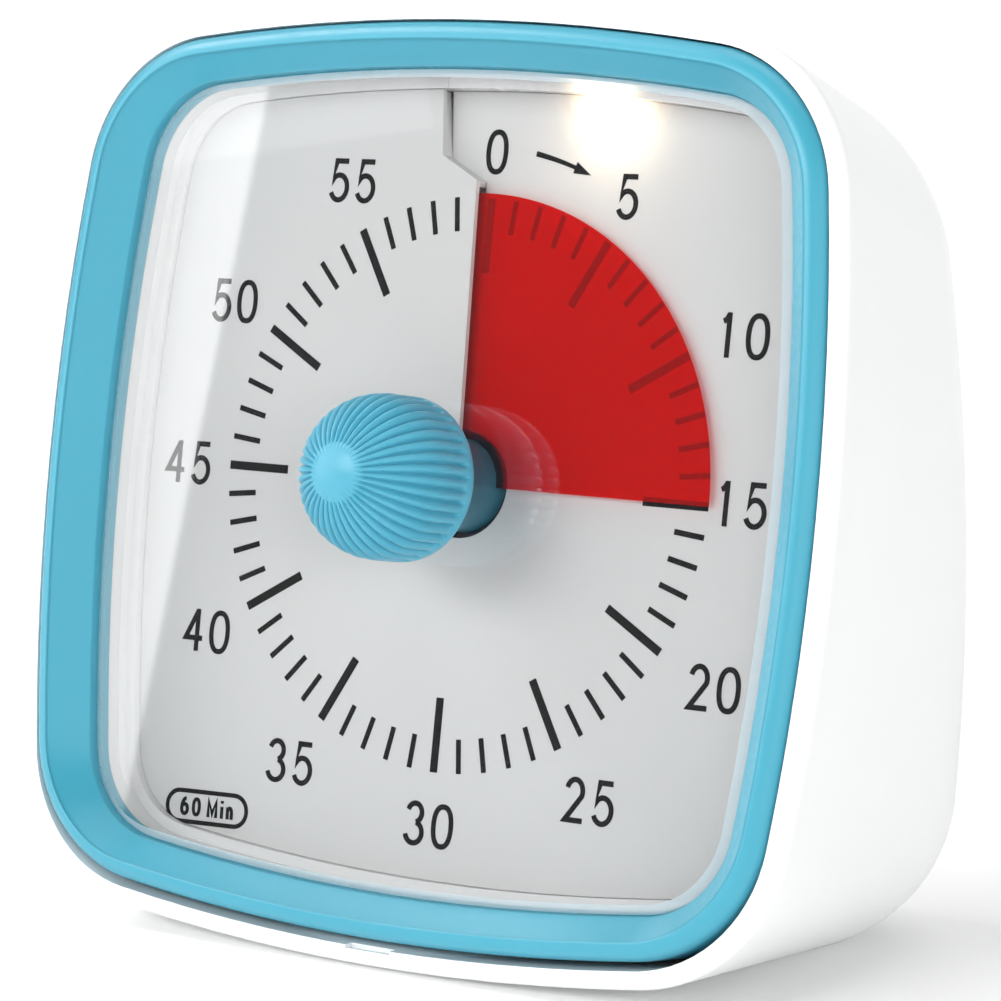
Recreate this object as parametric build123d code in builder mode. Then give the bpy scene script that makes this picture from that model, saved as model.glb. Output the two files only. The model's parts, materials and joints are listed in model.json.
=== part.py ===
"""Visual countdown timer: a sixty-minute dial with a red disc, a setting knob, a lamp and a stepper movement.

The dial leans back in a hollow body that stands on its flat base. Lengths are millimetres, angles are
degrees. +Z is up, the dial looks towards -Y, and the origin lies on the base, below the dial's middle.
Heights called "over the dial" are measured along the dial's axis, towards the user, from minute 0.
"""
import os
from math import acos, asin, cos, degrees, radians, sin, sqrt, tan

from build123d import *

os.makedirs("parts", exist_ok=True)

# ---------------------------------------------------------------- clearances
seat_gap = 0.15                # between pieces that seat in each other
touch_gap = 0.05               # between faces that rest against each other
running_gap = 0.06             # radial play of shafts, pivots and sliding sleeves
pass_gap = 0.3                 # between pieces that move past each other

# ---------------------------------------------------------------- body
face_lean = 9.5                # the dial leans back from vertical
rear_lean = 5.6                # the rear wall leans forward from vertical
base_lift = 0.3                # lowest front edge of the rim over the table
body_half_width = 43.3
body_top = 42.4                # dial axis to the top of the rim
body_bottom = 43.3             # dial axis to the bottom of the rim
body_corner = 15.2
body_bulge = 218.0             # radius of the slightly curved sides
body_draft = 4.6               # the sides draw in towards the rear
rear_distance = 29.1           # dial plane to the rear wall, along the dial's axis
rear_corner = 17.0
rear_round = 13.0              # rounding between the sides and the rear wall
rim_front = 8.9                # front edge of the body over the dial
rim_round = 1.1
side_wall = 1.7
rear_wall = 2.0
base_wall = 2.0
base_round = 0.5
notch_middle = 0.3
notch_width = 4.8
notch_depth = 0.9

# ---------------------------------------------------------------- trim ring and lens
rim_side = 1.7                 # the body's rim beside the trim ring
rim_end = 1.9                  # the body's rim above and below the trim ring
ring_half_width = body_half_width - rim_side
ring_half_height = (body_top + body_bottom) / 2 - rim_end
ring_corner = 13.9
ring_bulge = body_bulge - 2.0
ring_side = 4.7                # the ring's breadth at the sides
ring_end = 3.9                 # the ring's breadth at the top and bottom
window_half_width = ring_half_width - ring_side
window_half_height = ring_half_height - ring_end
window_corner = 9.0
window_bulge = ring_bulge - 5.0
ridge_inset_side = 1.8         # outer edge to the inner edge of the ridge
ridge_inset_end = 1.75
ridge_corner = 12.2
ring_ridge = 9.9               # the ring's ridge over the dial
ring_mouth = 6.8               # the ring's inner edge over the dial
ring_round = 1.25
ring_back = 4.2
ring_ledge = 0.4               # the lens lies on this ledge inside the ring
ring_ledge_back = 4.6
ring_ledge_front = 5.25
lens_front = 6.75
lens_bevel = 0.85
lens_hole = 4.7

# ---------------------------------------------------------------- tray, dial and disc
tray_top = ring_ledge_back - touch_gap
tray_ledge = 1.9
tray_ledge_width = 1.0
tray_wall = 1.8
tray_floor = -3.2
tray_floor_thickness = 1.3
tray_post = 1.8
tray_post_inset = 5.6          # the window's side to the middle of a post
tray_boss = 3.0
dial_pitch = 1.6               # the dial climbs this much in one turn
dial_thickness = 0.5
dial_hole = 4.8
dial_edge_gap = 0.06
slit_angle = 1.6               # the disc's slit lies this far before minute 0
step_start = 27.5              # radius where the step leaves the slit
step_knee = (-4.8, 29.65)
step_end = -6.0                # where the step line meets the top edge
step_wall = 0.6
ramp_lap = 14.0                # the climbing plate starts this far before minute 0
disc_radius = 26.4
disc_thickness = 0.25
disc_rise = 0.62               # underside of the disc over the dial
disc_extent = 352.0
rest_minutes = 15              # the disc shows fifteen minutes
hub_radius = 4.2
hub_wall = 0.55
hub_back = -1.7
hub_front = 7.3
key_width = 1.0
key_depth = 0.4

# ---------------------------------------------------------------- knob and shaft
knob_radius = 7.36
knob_back = 9.2
knob_dome = 12.9               # middle of the dome over the dial
knob_spot = 2.6                # plain round end of the dome
knob_ribs = 40
flute_radius = 0.45
flute_start = 10.1
neck_back = 0.4
bore_front = 16.1
shaft_radius = 1.5
shaft_front = 16.0
shaft_back = -12.5
shaft_pivot = 0.8
collar_radius = 2.4
collar_front = -7.6
collar_thickness = 0.5
clutch_radius = 3.2
clutch_thickness = 0.2
clip_thickness = 0.4

# ---------------------------------------------------------------- movement
case_half_width = 20.0
case_low = -14.2
case_high = 26.4
case_front = -4.6
case_back = -13.6
case_split = -9.0
case_plate = 0.9
case_wall = 1.3
case_corner = 3.0
bushing_radius = 3.4
bushing_front = -2.6
gear_module = 0.4
gear_pressure = 25.0
gear_addendum = 0.75           # in modules
gear_dedendum = 1.1            # in modules
gear_backlash = 0.08
wheel_width = 0.8
pinion_width = 1.2
pinion_teeth = 10
train_teeth = 50
centre_teeth = 60
centre_level = -6.5
third_level = -8.1
second_level = -9.7
third_bearing = 60.0           # direction from the middle to the third wheel
second_bearing = 178.0         # direction from the third wheel to the second wheel
rotor_bearing = 215.0          # direction from the second wheel to the rotor
arbor_radius = 0.5
arbor_front = -5.6
arbor_back = -12.6
pivot_radius = 0.35
pivot_length = 0.6
rotor_radius = 2.1
rotor_level = -11.4
rotor_length = 1.6
stator_thickness = 0.8
stator_bar = 1.8
stator_ring = 3.7
coil_place = -8.8
coil_right = 12.5
coil_half_length = 9.5
coil_half_height = 2.8
coil_half_depth = 1.15
movement_screw_places = ((17.2, 23.4), (-17.2, 23.4), (17.2, -10.2))
movement_screw_radius = 0.8
movement_screw_front = -3.6
movement_post = 1.7
small_head_radius = 1.5        # heads of the movement's and the board's screws
small_head_height = 0.9
small_head_slot = 1.8

# ---------------------------------------------------------------- battery
battery_radius = 7.1
battery_body = 48.9
battery_nub = 1.1
battery_nub_radius = 2.7
battery_depth = 9.3            # middle of the battery below the rear wall's outside
battery_room = 2.7             # the bay is this much longer than the battery at each end
battery_shift = 0.2            # the battery lies off the middle of the bay
bay_middle = -17.0             # middle of the bay, up the rear wall
bay_half_height = 7.6
bay_half_length = (battery_body + battery_nub) / 2 + battery_room
bay_floor = 16.8
bay_wall = 1.2
bay_lip = 3.2
bay_opening = bay_half_length - 2.1
door_half_width = bay_opening + 0.8
door_half_height = bay_half_height + 1.4
door_thickness = 1.6
door_corner = 2.0
door_rib = 1.8
door_rib_wall = 1.0
door_groove = 0.4
thumb_half_width = 5.0
thumb_depth = 0.9
contact_sheet = 0.4
contact_half_height = 5.5
contact_half_depth = 5.3
spring_wire = 0.3
spring_radius = 2.8
spring_pitch = 0.85

# ---------------------------------------------------------------- circuit, switch, sounder and lamp
board_thickness = 1.2
board_half_width = 13.0
board_half_height = 10.5
board_place = (-12.5, 13.5)    # across and up the rear wall
board_depth = 6.0
board_screw_reach = (10.6, 8.2)
board_post = 2.0
board_screw_radius = 0.8
board_screw_depth = 3.0
chip_half = 4.0
chip_height = 1.3
chip_leg = 1.6
chip_leg_width = 0.6
chip_leg_pitch = 1.6
switch_place = (-14.0, 15.5)
switch_half_length = 4.5
switch_half_height = 2.0
switch_wall = 0.4
switch_depth = 2.4
switch_travel = 2.0
slider_half_length = 1.5
slider_half_height = 1.1
slider_foot = 0.35
slider_proud = 0.8
buzzer_place = (14.0, 12.0)
buzzer_radius = 9.5
buzzer_height = 4.6
buzzer_rib = 1.0
sound_hole = 0.8
sound_ring = 4.0
lamp_place = 13.0
guide_left = -4.6
guide_right = 28.6
guide_back = 0.7
lamp_half_width = 1.75
lamp_depth = 0.35
lamp_back = 1.0
lamp_height = 1.4
lamp_board_half = 4.5
lamp_board_thickness = 0.4
lamp_board_back = 0.6
lamp_board_top = 3.0
lamp_lug = 0.8
lamp_lug_height = 0.8

# ---------------------------------------------------------------- case screws
case_screw_inset_low = 3.9     # the window's side to the lower screws
case_screw_inset_high = 5.9    # the window's side to the upper screws
case_screw_low = window_half_width - case_screw_inset_low
case_screw_high = window_half_width - case_screw_inset_high
case_screw_places = (
    (case_screw_low, -21.5), (-case_screw_low, -21.5), (case_screw_high, 22.0), (-case_screw_high, 22.0)
)
case_boss = 3.4
case_boss_front = -7.6
case_screw_seat = -15.0        # the heads rest at this height
case_screw_front = -4.1
screw_radius = 1.1
screw_head_radius = 2.1
screw_head_height = 1.3
screw_well = 2.35

# ---------------------------------------------------------------- derived frames
lean = radians(face_lean)
rear_tilt = radians(rear_lean)
face_height = body_bottom * cos(lean) - rim_front * sin(lean) + base_lift
body_depth = rim_front + rear_distance
draft = tan(radians(body_draft))
drop = (body_top - body_bottom) / 2
face = Plane(origin=(0, 0, face_height), x_dir=(1, 0, 0), z_dir=(0, -cos(lean), sin(lean)))
side = Plane(origin=face.origin, x_dir=(1, 0, 0), z_dir=Vector(1, 0, 0).cross(face.z_dir))
dial_axis = Axis(face.origin, face.z_dir)
rear = Plane(
    origin=face.offset(-rear_distance).origin,
    x_dir=(-1, 0, 0),
    z_dir=(0, cos(rear_tilt), sin(rear_tilt)),
)
lamp_turn = asin(lamp_place / (window_bulge + tray_wall - pass_gap))
lamp_foot = window_half_height - window_bulge + (window_bulge + tray_wall - pass_gap) * cos(lamp_turn)
lamp_spot = Location((lamp_place, lamp_foot, 0), (0, 0, -degrees(lamp_turn)))
bay = Plane(
    origin=rear.from_local_coords((0, bay_middle, -battery_depth)),
    x_dir=rear.z_dir,
    z_dir=(1, 0, 0),
)


def rounded_square(half_x, half_y, corner, bulge):
    """A square outline with slightly curved sides and tangent corner arcs."""
    side_middle = Vector(half_x - bulge, 0)
    top_middle = Vector(0, half_y - bulge)
    across = top_middle - side_middle
    height = sqrt((bulge - corner) ** 2 - across.length**2 / 4)
    outward = Vector(across.Y, -across.X).normalized()
    outward = outward if outward.X > 0 else outward * -1
    corner_middle = (side_middle + top_middle) / 2 + outward * height
    on_side = side_middle + (corner_middle - side_middle).normalized() * bulge
    on_top = top_middle + (corner_middle - top_middle).normalized() * bulge
    nose = corner_middle + (on_side + on_top - corner_middle * 2).normalized() * corner
    with BuildSketch() as outline:
        with BuildLine():
            ThreePointArc((on_side.X, -on_side.Y), (half_x, 0), (on_side.X, on_side.Y))
            ThreePointArc((on_top.X, on_top.Y), (0, half_y), (-on_top.X, on_top.Y))
            ThreePointArc((-on_side.X, on_side.Y), (-half_x, 0), (-on_side.X, -on_side.Y))
            ThreePointArc((-on_top.X, -on_top.Y), (0, -half_y), (on_top.X, -on_top.Y))
            for sx, sy in ((1, 1), (-1, 1), (-1, -1), (1, -1)):
                ThreePointArc(
                    (sx * on_side.X, sy * on_side.Y),
                    (sx * nose.X, sy * nose.Y),
                    (sx * on_top.X, sy * on_top.Y),
                )
        make_face()
    return outline.sketch


def window_outline(grow=0.0):
    """The window's outline, grown outwards."""
    return rounded_square(
        window_half_width + grow, window_half_height + grow, window_corner + grow, window_bulge + grow
    )


def ring_outline(grow=0.0):
    """The trim ring's outer outline, grown outwards."""
    return rounded_square(ring_half_width + grow, ring_half_height + grow, ring_corner + grow, ring_bulge + grow)


def body_plane(distance):
    """The body's section plane at a distance behind the rim; it turns from the face to the rear wall."""
    tilt = radians(face_lean - (face_lean + rear_lean) * distance / body_depth)
    up = Vector(0, sin(tilt), cos(tilt))
    origin = face.offset(rim_front - distance).origin + up * drop
    return Plane(origin=origin, x_dir=(1, 0, 0), z_dir=(0, -cos(tilt), sin(tilt)))


def body_outline(distance, inset):
    """The body's section at a distance behind the rim, drawn in by the draft and an inset."""
    shrink = draft * distance + inset
    corner = body_corner + (rear_corner - body_corner) * distance / body_depth - inset
    half_height = (body_top + body_bottom) / 2 - shrink
    return rounded_square(body_half_width - shrink, half_height, corner, body_bulge - inset)


def body_solid(start, end, rounding, wall, floor):
    """The body's form between two distances behind the rim, inside a wall, standing on a floor height."""
    straight = end - rounding
    turns = [radians(15 * step) for step in range(7)]
    with BuildPart() as solid:
        for distance in (start, straight):
            with BuildSketch(body_plane(distance)):
                add(body_outline(distance, wall))
        loft(ruled=True)
        for turn in turns:
            distance = straight + rounding * sin(turn)
            with BuildSketch(body_plane(distance)):
                add(body_outline(distance, wall + rounding * (1 - cos(turn))))
        loft()
        split(bisect_by=Plane.XY.offset(floor), keep=Keep.TOP)
    return solid.part


def climbing_plate(inner, outer, underside, thickness, start, extent):
    """A plate that climbs clockwise by the dial's pitch; angles and the underside count from minute 0."""
    with BuildPart() as plate:
        with BuildLine() as climb:
            Helix(pitch=dial_pitch, height=dial_pitch * extent / 360, radius=outer, lefthand=True)
        with BuildSketch(Plane.XZ):
            with Locations((inner, 0)):
                Rectangle(outer - inner, thickness, align=Align.MIN)
        sweep(path=climb.line, is_frenet=True)
    lift = underside + dial_pitch * start / 360
    return face.location * Pos(0, 0, lift) * Rot(0, 0, 90 - start) * plate.part


def gear_outline(teeth, phase):
    """A spur gear with involute flanks; one tooth points in the direction of the phase."""
    pitch_radius = gear_module * teeth / 2
    base_radius = pitch_radius * cos(radians(gear_pressure))
    tip_radius = pitch_radius + gear_addendum * gear_module
    root_radius = pitch_radius - gear_dedendum * gear_module
    half_tooth = 90 / teeth - degrees(gear_backlash / 4 / pitch_radius)
    start_radius = max(base_radius, root_radius)
    middle_radius = (start_radius + tip_radius) / 2
    pitch_involute = degrees(tan(radians(gear_pressure))) - gear_pressure
    flank = []
    for radius in (start_radius, middle_radius, tip_radius):
        pressure = acos(min(base_radius / radius, 1))
        flank.append((radius, half_tooth + pitch_involute - degrees(tan(pressure) - pressure)))
    if start_radius > root_radius:
        flank.insert(0, (root_radius, flank[0][1]))
    points = []
    for tooth in range(teeth):
        here = phase + 360 * tooth / teeth
        for turn, half in ((-1, flank), (1, flank[::-1])):
            for radius, angle in half:
                heading = radians(here + turn * angle)
                points.append((radius * cos(heading), radius * sin(heading)))
    with BuildSketch() as outline:
        with BuildLine():
            Polyline(*points, close=True)
        make_face()
    return outline.sketch


def mesh_phase(phase, teeth, next_teeth, bearing):
    """The phase of a gear that meshes with another one in the direction of the bearing."""
    share = (bearing - phase) * teeth / 360
    return bearing + 180 + (share + 0.5) * 360 / next_teeth


def arbor_plane(plane, distance, bearing):
    """The plane of the next arbor at a distance and a bearing."""
    step = (distance * cos(radians(bearing)), distance * sin(radians(bearing)), 0)
    return Plane(origin=plane.from_local_coords(step), x_dir=face.x_dir, z_dir=face.z_dir)


def arbor_part(plane):
    """A plain arbor with a thinner pivot at each end."""
    with BuildPart() as arbor:
        with BuildSketch(plane.offset(arbor_back)):
            Circle(arbor_radius)
        extrude(amount=arbor_front - arbor_back)
        with BuildSketch(plane.offset(arbor_back - pivot_length)):
            Circle(pivot_radius)
        extrude(amount=arbor_front - arbor_back + 2 * pivot_length)
    return arbor.part


def local_place(plane):
    """Where a plane's origin lies on the dial."""
    place = face.to_local_coords(plane.origin)
    return (place.X, place.Y)


def cross_slot(size):
    """The cross in a screw head."""
    with BuildSketch() as slot:
        Rectangle(size, size / 4)
        Rectangle(size / 4, size)
    return slot.sketch


# ---------------------------------------------------------------- housing
body_form = body_solid(0, body_depth, rear_round, 0, 0)
cavity_form = body_solid(-1, body_depth - rear_wall, rear_round - side_wall, side_wall, base_wall)

with BuildPart() as posts:
    with BuildSketch(face.offset(case_boss_front)):
        with Locations(*case_screw_places):
            Circle(case_boss)
    extrude(amount=-(rear_distance + case_boss_front))
    with BuildSketch(rear.offset(-1)):
        with Locations((0, bay_middle)):
            Rectangle(2 * (bay_half_length + bay_wall), 2 * (bay_half_height + bay_wall))
    extrude(amount=1 - bay_floor - bay_wall)
    with BuildSketch(rear.offset(-1)):
        with Locations(board_place):
            with Locations(board_screw_reach, (-board_screw_reach[0], -board_screw_reach[1])):
                Circle(board_post)
    extrude(amount=1 - board_depth)
    with BuildSketch(rear.offset(-1)):
        with Locations(buzzer_place):
            Circle(buzzer_radius + seat_gap + buzzer_rib)
            Circle(buzzer_radius + seat_gap, mode=Mode.SUBTRACT)
    extrude(amount=1 - rear_wall - buzzer_height / 2)
    add(body_form, mode=Mode.INTERSECT)

with BuildPart() as housing:
    add(body_form)
    fillet(housing.faces().sort_by(dial_axis)[-1].edges(), rim_round)
    fillet(housing.faces().sort_by(Axis.Z)[0].edges(), base_round)
    add(cavity_form, mode=Mode.SUBTRACT)
    with BuildSketch(face.offset(ring_back - seat_gap)):
        add(ring_outline())
    extrude(amount=rim_front, mode=Mode.SUBTRACT)
    add(posts.part)
    # screw wells
    with BuildSketch(face.offset(case_screw_seat)):
        with Locations(*case_screw_places):
            Circle(screw_well)
    extrude(amount=-rear_distance, mode=Mode.SUBTRACT)
    with BuildSketch(face.offset(case_boss_front)):
        with Locations(*case_screw_places):
            Circle(screw_radius + touch_gap)
    extrude(amount=-rear_distance, mode=Mode.SUBTRACT)
    # battery bay and the door's recess
    with BuildSketch(rear.offset(-bay_lip)):
        with Locations((0, bay_middle)):
            Rectangle(2 * bay_half_length, 2 * bay_half_height)
    extrude(amount=bay_lip - bay_floor, mode=Mode.SUBTRACT)
    with BuildSketch(rear.offset(1)):
        with Locations((0, bay_middle)):
            Rectangle(2 * bay_opening, 2 * bay_half_height)
    extrude(amount=-1 - bay_lip, mode=Mode.SUBTRACT)
    with BuildSketch(rear.offset(1)):
        with Locations((0, bay_middle)):
            RectangleRounded(
                2 * (door_half_width + seat_gap), 2 * (door_half_height + seat_gap), door_corner + seat_gap
            )
    extrude(amount=-1 - door_thickness - touch_gap, mode=Mode.SUBTRACT)
    with BuildSketch(rear.offset(1)):
        with Locations((0, bay_middle + door_half_height)):
            SlotOverall(4 * thumb_half_width, 2 * thumb_half_width)
    extrude(amount=-1 - thumb_depth, mode=Mode.SUBTRACT)
    # board screws, switch slot and sound holes
    with BuildSketch(rear.offset(-board_depth)):
        with Locations(board_place):
            with Locations(board_screw_reach, (-board_screw_reach[0], -board_screw_reach[1])):
                Circle(board_screw_radius + touch_gap)
    extrude(amount=board_depth - rear_wall, mode=Mode.SUBTRACT)
    with BuildSketch(rear.offset(1)):
        with Locations(switch_place):
            Rectangle(
                2 * (slider_half_length + switch_travel + pass_gap), 2 * (slider_half_height + pass_gap)
            )
        with Locations(buzzer_place):
            Circle(sound_hole)
            with PolarLocations(sound_ring, 6):
                Circle(sound_hole)
    extrude(amount=-1 - rear_wall - pass_gap, mode=Mode.SUBTRACT)
    # notch for prising out the trim ring
    with BuildSketch(face.offset(rim_front)):
        with Locations((notch_middle, -ring_half_height)):
            Rectangle(notch_width, notch_depth * 2)
    extrude(amount=-notch_depth, mode=Mode.SUBTRACT)
housing.part.label = "housing"
export_step(housing.part, "parts/housing.step")

# ---------------------------------------------------------------- trim ring
with BuildPart() as trim_ring:
    with BuildSketch(face.offset(ring_back)):
        add(ring_outline(-seat_gap))
    extrude(amount=ring_ridge - ring_back)
    fillet(trim_ring.faces().sort_by(dial_axis)[-1].edges(), ring_round)
    with BuildSketch(face.offset(ring_back)):
        add(window_outline(tray_wall))
    extrude(amount=ring_ledge_back - ring_back, mode=Mode.SUBTRACT)
    with BuildSketch(face.offset(ring_ledge_back)):
        add(window_outline(-ring_ledge))
    extrude(amount=ring_ridge - ring_ledge_back, mode=Mode.SUBTRACT)
    with BuildSketch(face.offset(ring_ledge_front)):
        add(window_outline())
    extrude(amount=ring_ridge - ring_ledge_front, mode=Mode.SUBTRACT)
    with BuildSketch(face.offset(ring_mouth)):
        add(window_outline())
    with BuildSketch(face.offset(ring_ridge)):
        add(
            rounded_square(
                ring_half_width - ridge_inset_side, ring_half_height - ridge_inset_end, ridge_corner, ring_bulge
            )
        )
    loft(ruled=True, mode=Mode.SUBTRACT)
trim_ring.part.label = "trim_ring"
export_step(trim_ring.part, "parts/trim_ring.step")

# ---------------------------------------------------------------- lens over the dial
with BuildPart() as window_lens:
    with BuildSketch(face.offset(ring_ledge_front + touch_gap)):
        add(window_outline(-seat_gap))
    extrude(amount=lens_front - lens_bevel - ring_ledge_front - touch_gap)
    with BuildSketch(face.offset(lens_front - lens_bevel)):
        add(window_outline(-seat_gap))
    with BuildSketch(face.offset(lens_front)):
        add(window_outline(-seat_gap - lens_bevel))
    loft(ruled=True)
    with BuildSketch(face):
        Circle(lens_hole)
    extrude(amount=2 * lens_front, mode=Mode.SUBTRACT)
window_lens.part.label = "window_lens"
export_step(window_lens.part, "parts/window_lens.step")

# ---------------------------------------------------------------- movement: arbors and gears
third_plane = arbor_plane(face, gear_module * (centre_teeth + pinion_teeth) / 2, third_bearing)
train_distance = gear_module * (train_teeth + pinion_teeth) / 2
second_plane = arbor_plane(third_plane, train_distance, second_bearing)
rotor_plane = arbor_plane(second_plane, train_distance, rotor_bearing)
centre_phase = 0.0
third_pinion_phase = mesh_phase(centre_phase, centre_teeth, pinion_teeth, third_bearing)
third_phase = 0.0
second_pinion_phase = mesh_phase(third_phase, train_teeth, pinion_teeth, second_bearing)
second_phase = 0.0
rotor_phase = mesh_phase(second_phase, train_teeth, pinion_teeth, rotor_bearing)
arbor_places = [local_place(plane) for plane in (third_plane, second_plane, rotor_plane)]

with BuildPart() as centre_wheel:
    with BuildSketch(face.offset(centre_level - wheel_width / 2)):
        add(gear_outline(centre_teeth, centre_phase))
        Circle(shaft_radius + running_gap, mode=Mode.SUBTRACT)
        with PolarLocations(7.2, 5):
            Circle(2.2, mode=Mode.SUBTRACT)
    extrude(amount=wheel_width)
centre_wheel.part.label = "centre_wheel"
export_step(centre_wheel.part, "parts/centre_wheel.step")

train = (
    ("third_wheel", third_plane, third_level, third_phase, centre_level, third_pinion_phase),
    ("second_wheel", second_plane, second_level, second_phase, third_level, second_pinion_phase),
)
for label, plane, level, phase, pinion_level, pinion_phase in train:
    with BuildPart() as wheel:
        add(arbor_part(plane))
        with BuildSketch(plane.offset(level - wheel_width / 2)):
            add(gear_outline(train_teeth, phase))
            with PolarLocations(5.8, 5):
                Circle(1.9, mode=Mode.SUBTRACT)
        extrude(amount=wheel_width)
        with BuildSketch(plane.offset(level)):
            add(gear_outline(pinion_teeth, pinion_phase))
        extrude(amount=pinion_level + pinion_width / 2 - level)
    wheel.part.label = label
    export_step(wheel.part, f"parts/{label}.step")

with BuildPart() as rotor:
    add(arbor_part(rotor_plane))
    with BuildSketch(rotor_plane.offset(second_level - pinion_width / 2)):
        add(gear_outline(pinion_teeth, rotor_phase))
    extrude(amount=pinion_width)
    with BuildSketch(rotor_plane.offset(rotor_level - rotor_length / 2)):
        Circle(rotor_radius)
    extrude(amount=rotor_length)
rotor.part.label = "rotor"
export_step(rotor.part, "parts/rotor.step")

rotor_x, rotor_y = arbor_places[2]
with BuildPart() as stator:
    with BuildSketch(face.offset(rotor_level - stator_thickness / 2)):
        for height in (coil_place, rotor_y):
            with Locations(((rotor_x + coil_right) / 2, height)):
                Rectangle(coil_right - rotor_x + stator_bar, stator_bar)
        for across in (rotor_x, coil_right):
            with Locations((across, (coil_place + rotor_y) / 2)):
                Rectangle(stator_bar, rotor_y - coil_place)
        with Locations((rotor_x, rotor_y)):
            Circle(stator_ring)
            Circle(rotor_radius + pass_gap, mode=Mode.SUBTRACT)
    extrude(amount=stator_thickness)
stator.part.label = "stator"
export_step(stator.part, "parts/stator.step")

coil_middle = (rotor_x + coil_right) / 2
coil_plane = Plane(
    origin=face.from_local_coords((coil_middle - coil_half_length, coil_place, rotor_level)),
    x_dir=face.y_dir,
    z_dir=(1, 0, 0),
)
with BuildPart() as motor_coil:
    with BuildSketch(coil_plane):
        RectangleRounded(2 * coil_half_height, 2 * coil_half_depth, 1)
    extrude(amount=2 * coil_half_length)
    with BuildSketch(coil_plane):
        Rectangle(stator_bar + 2 * touch_gap, stator_thickness + 2 * touch_gap)
    extrude(amount=2 * coil_half_length, mode=Mode.SUBTRACT)
motor_coil.part.label = "motor_coil"
export_step(motor_coil.part, "parts/motor_coil.step")

# ---------------------------------------------------------------- movement: case halves and screws
case_middle = (0, (case_low + case_high) / 2)
case_width = 2 * case_half_width
case_height = case_high - case_low


def case_half(start, end, plate_end):
    """Half of the movement's case with its walls, screw posts and screw holes."""
    floor = end - case_plate if plate_end > 0 else start + case_plate
    low = start if plate_end > 0 else floor
    high = floor if plate_end > 0 else end
    with BuildPart() as half:
        with BuildSketch(face.offset(start)):
            with Locations(case_middle):
                RectangleRounded(case_width, case_height, case_corner)
        extrude(amount=end - start)
        with BuildSketch(face.offset(low)):
            with Locations(case_middle):
                RectangleRounded(
                    case_width - 2 * case_wall, case_height - 2 * case_wall, case_corner - case_wall
                )
        extrude(amount=high - low, mode=Mode.SUBTRACT)
        with BuildSketch(face.offset(start)):
            with Locations(*movement_screw_places):
                Circle(movement_post)
        extrude(amount=end - start)
        with BuildSketch(face.offset(start)):
            with Locations(*movement_screw_places):
                Circle(movement_screw_radius + touch_gap)
        extrude(amount=end - start, mode=Mode.SUBTRACT)
    return half.part


with BuildPart() as movement_front:
    add(case_half(case_split, case_front, 1))
    with BuildSketch(face.offset(case_front)):
        Circle(bushing_radius)
    extrude(amount=bushing_front - case_front)
    with BuildSketch(face.offset(case_split)):
        Circle(shaft_radius + running_gap)
    extrude(amount=bushing_front - case_split, mode=Mode.SUBTRACT)
    with BuildSketch(face.offset(case_front - case_plate)):
        with Locations(*arbor_places):
            Circle(pivot_radius + running_gap)
    extrude(amount=case_plate - 0.2, mode=Mode.SUBTRACT)
movement_front.part.label = "movement_front"
export_step(movement_front.part, "parts/movement_front.step")

with BuildPart() as movement_back:
    add(case_half(case_back, case_split - touch_gap, -1))
    with BuildSketch(face.offset(case_back + case_plate)):
        with Locations(*arbor_places):
            Circle(pivot_radius + running_gap)
        Circle(shaft_pivot + running_gap)
    extrude(amount=0.2 - case_plate, mode=Mode.SUBTRACT)
movement_back.part.label = "movement_back"
export_step(movement_back.part, "parts/movement_back.step")

with BuildPart() as movement_screws:
    with BuildSketch(face.offset(case_back)):
        with Locations(*movement_screw_places):
            Circle(movement_screw_radius)
    extrude(amount=movement_screw_front - case_back)
    with BuildSketch(face.offset(case_back)):
        with Locations(*movement_screw_places):
            Circle(small_head_radius)
    extrude(amount=-small_head_height)
    with BuildSketch(face.offset(case_back - small_head_height)):
        with Locations(*movement_screw_places):
            add(cross_slot(small_head_slot))
    extrude(amount=0.5, mode=Mode.SUBTRACT)
movement_screws.part.label = "movement_screws"
export_step(movement_screws.part, "parts/movement_screws.step")

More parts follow.
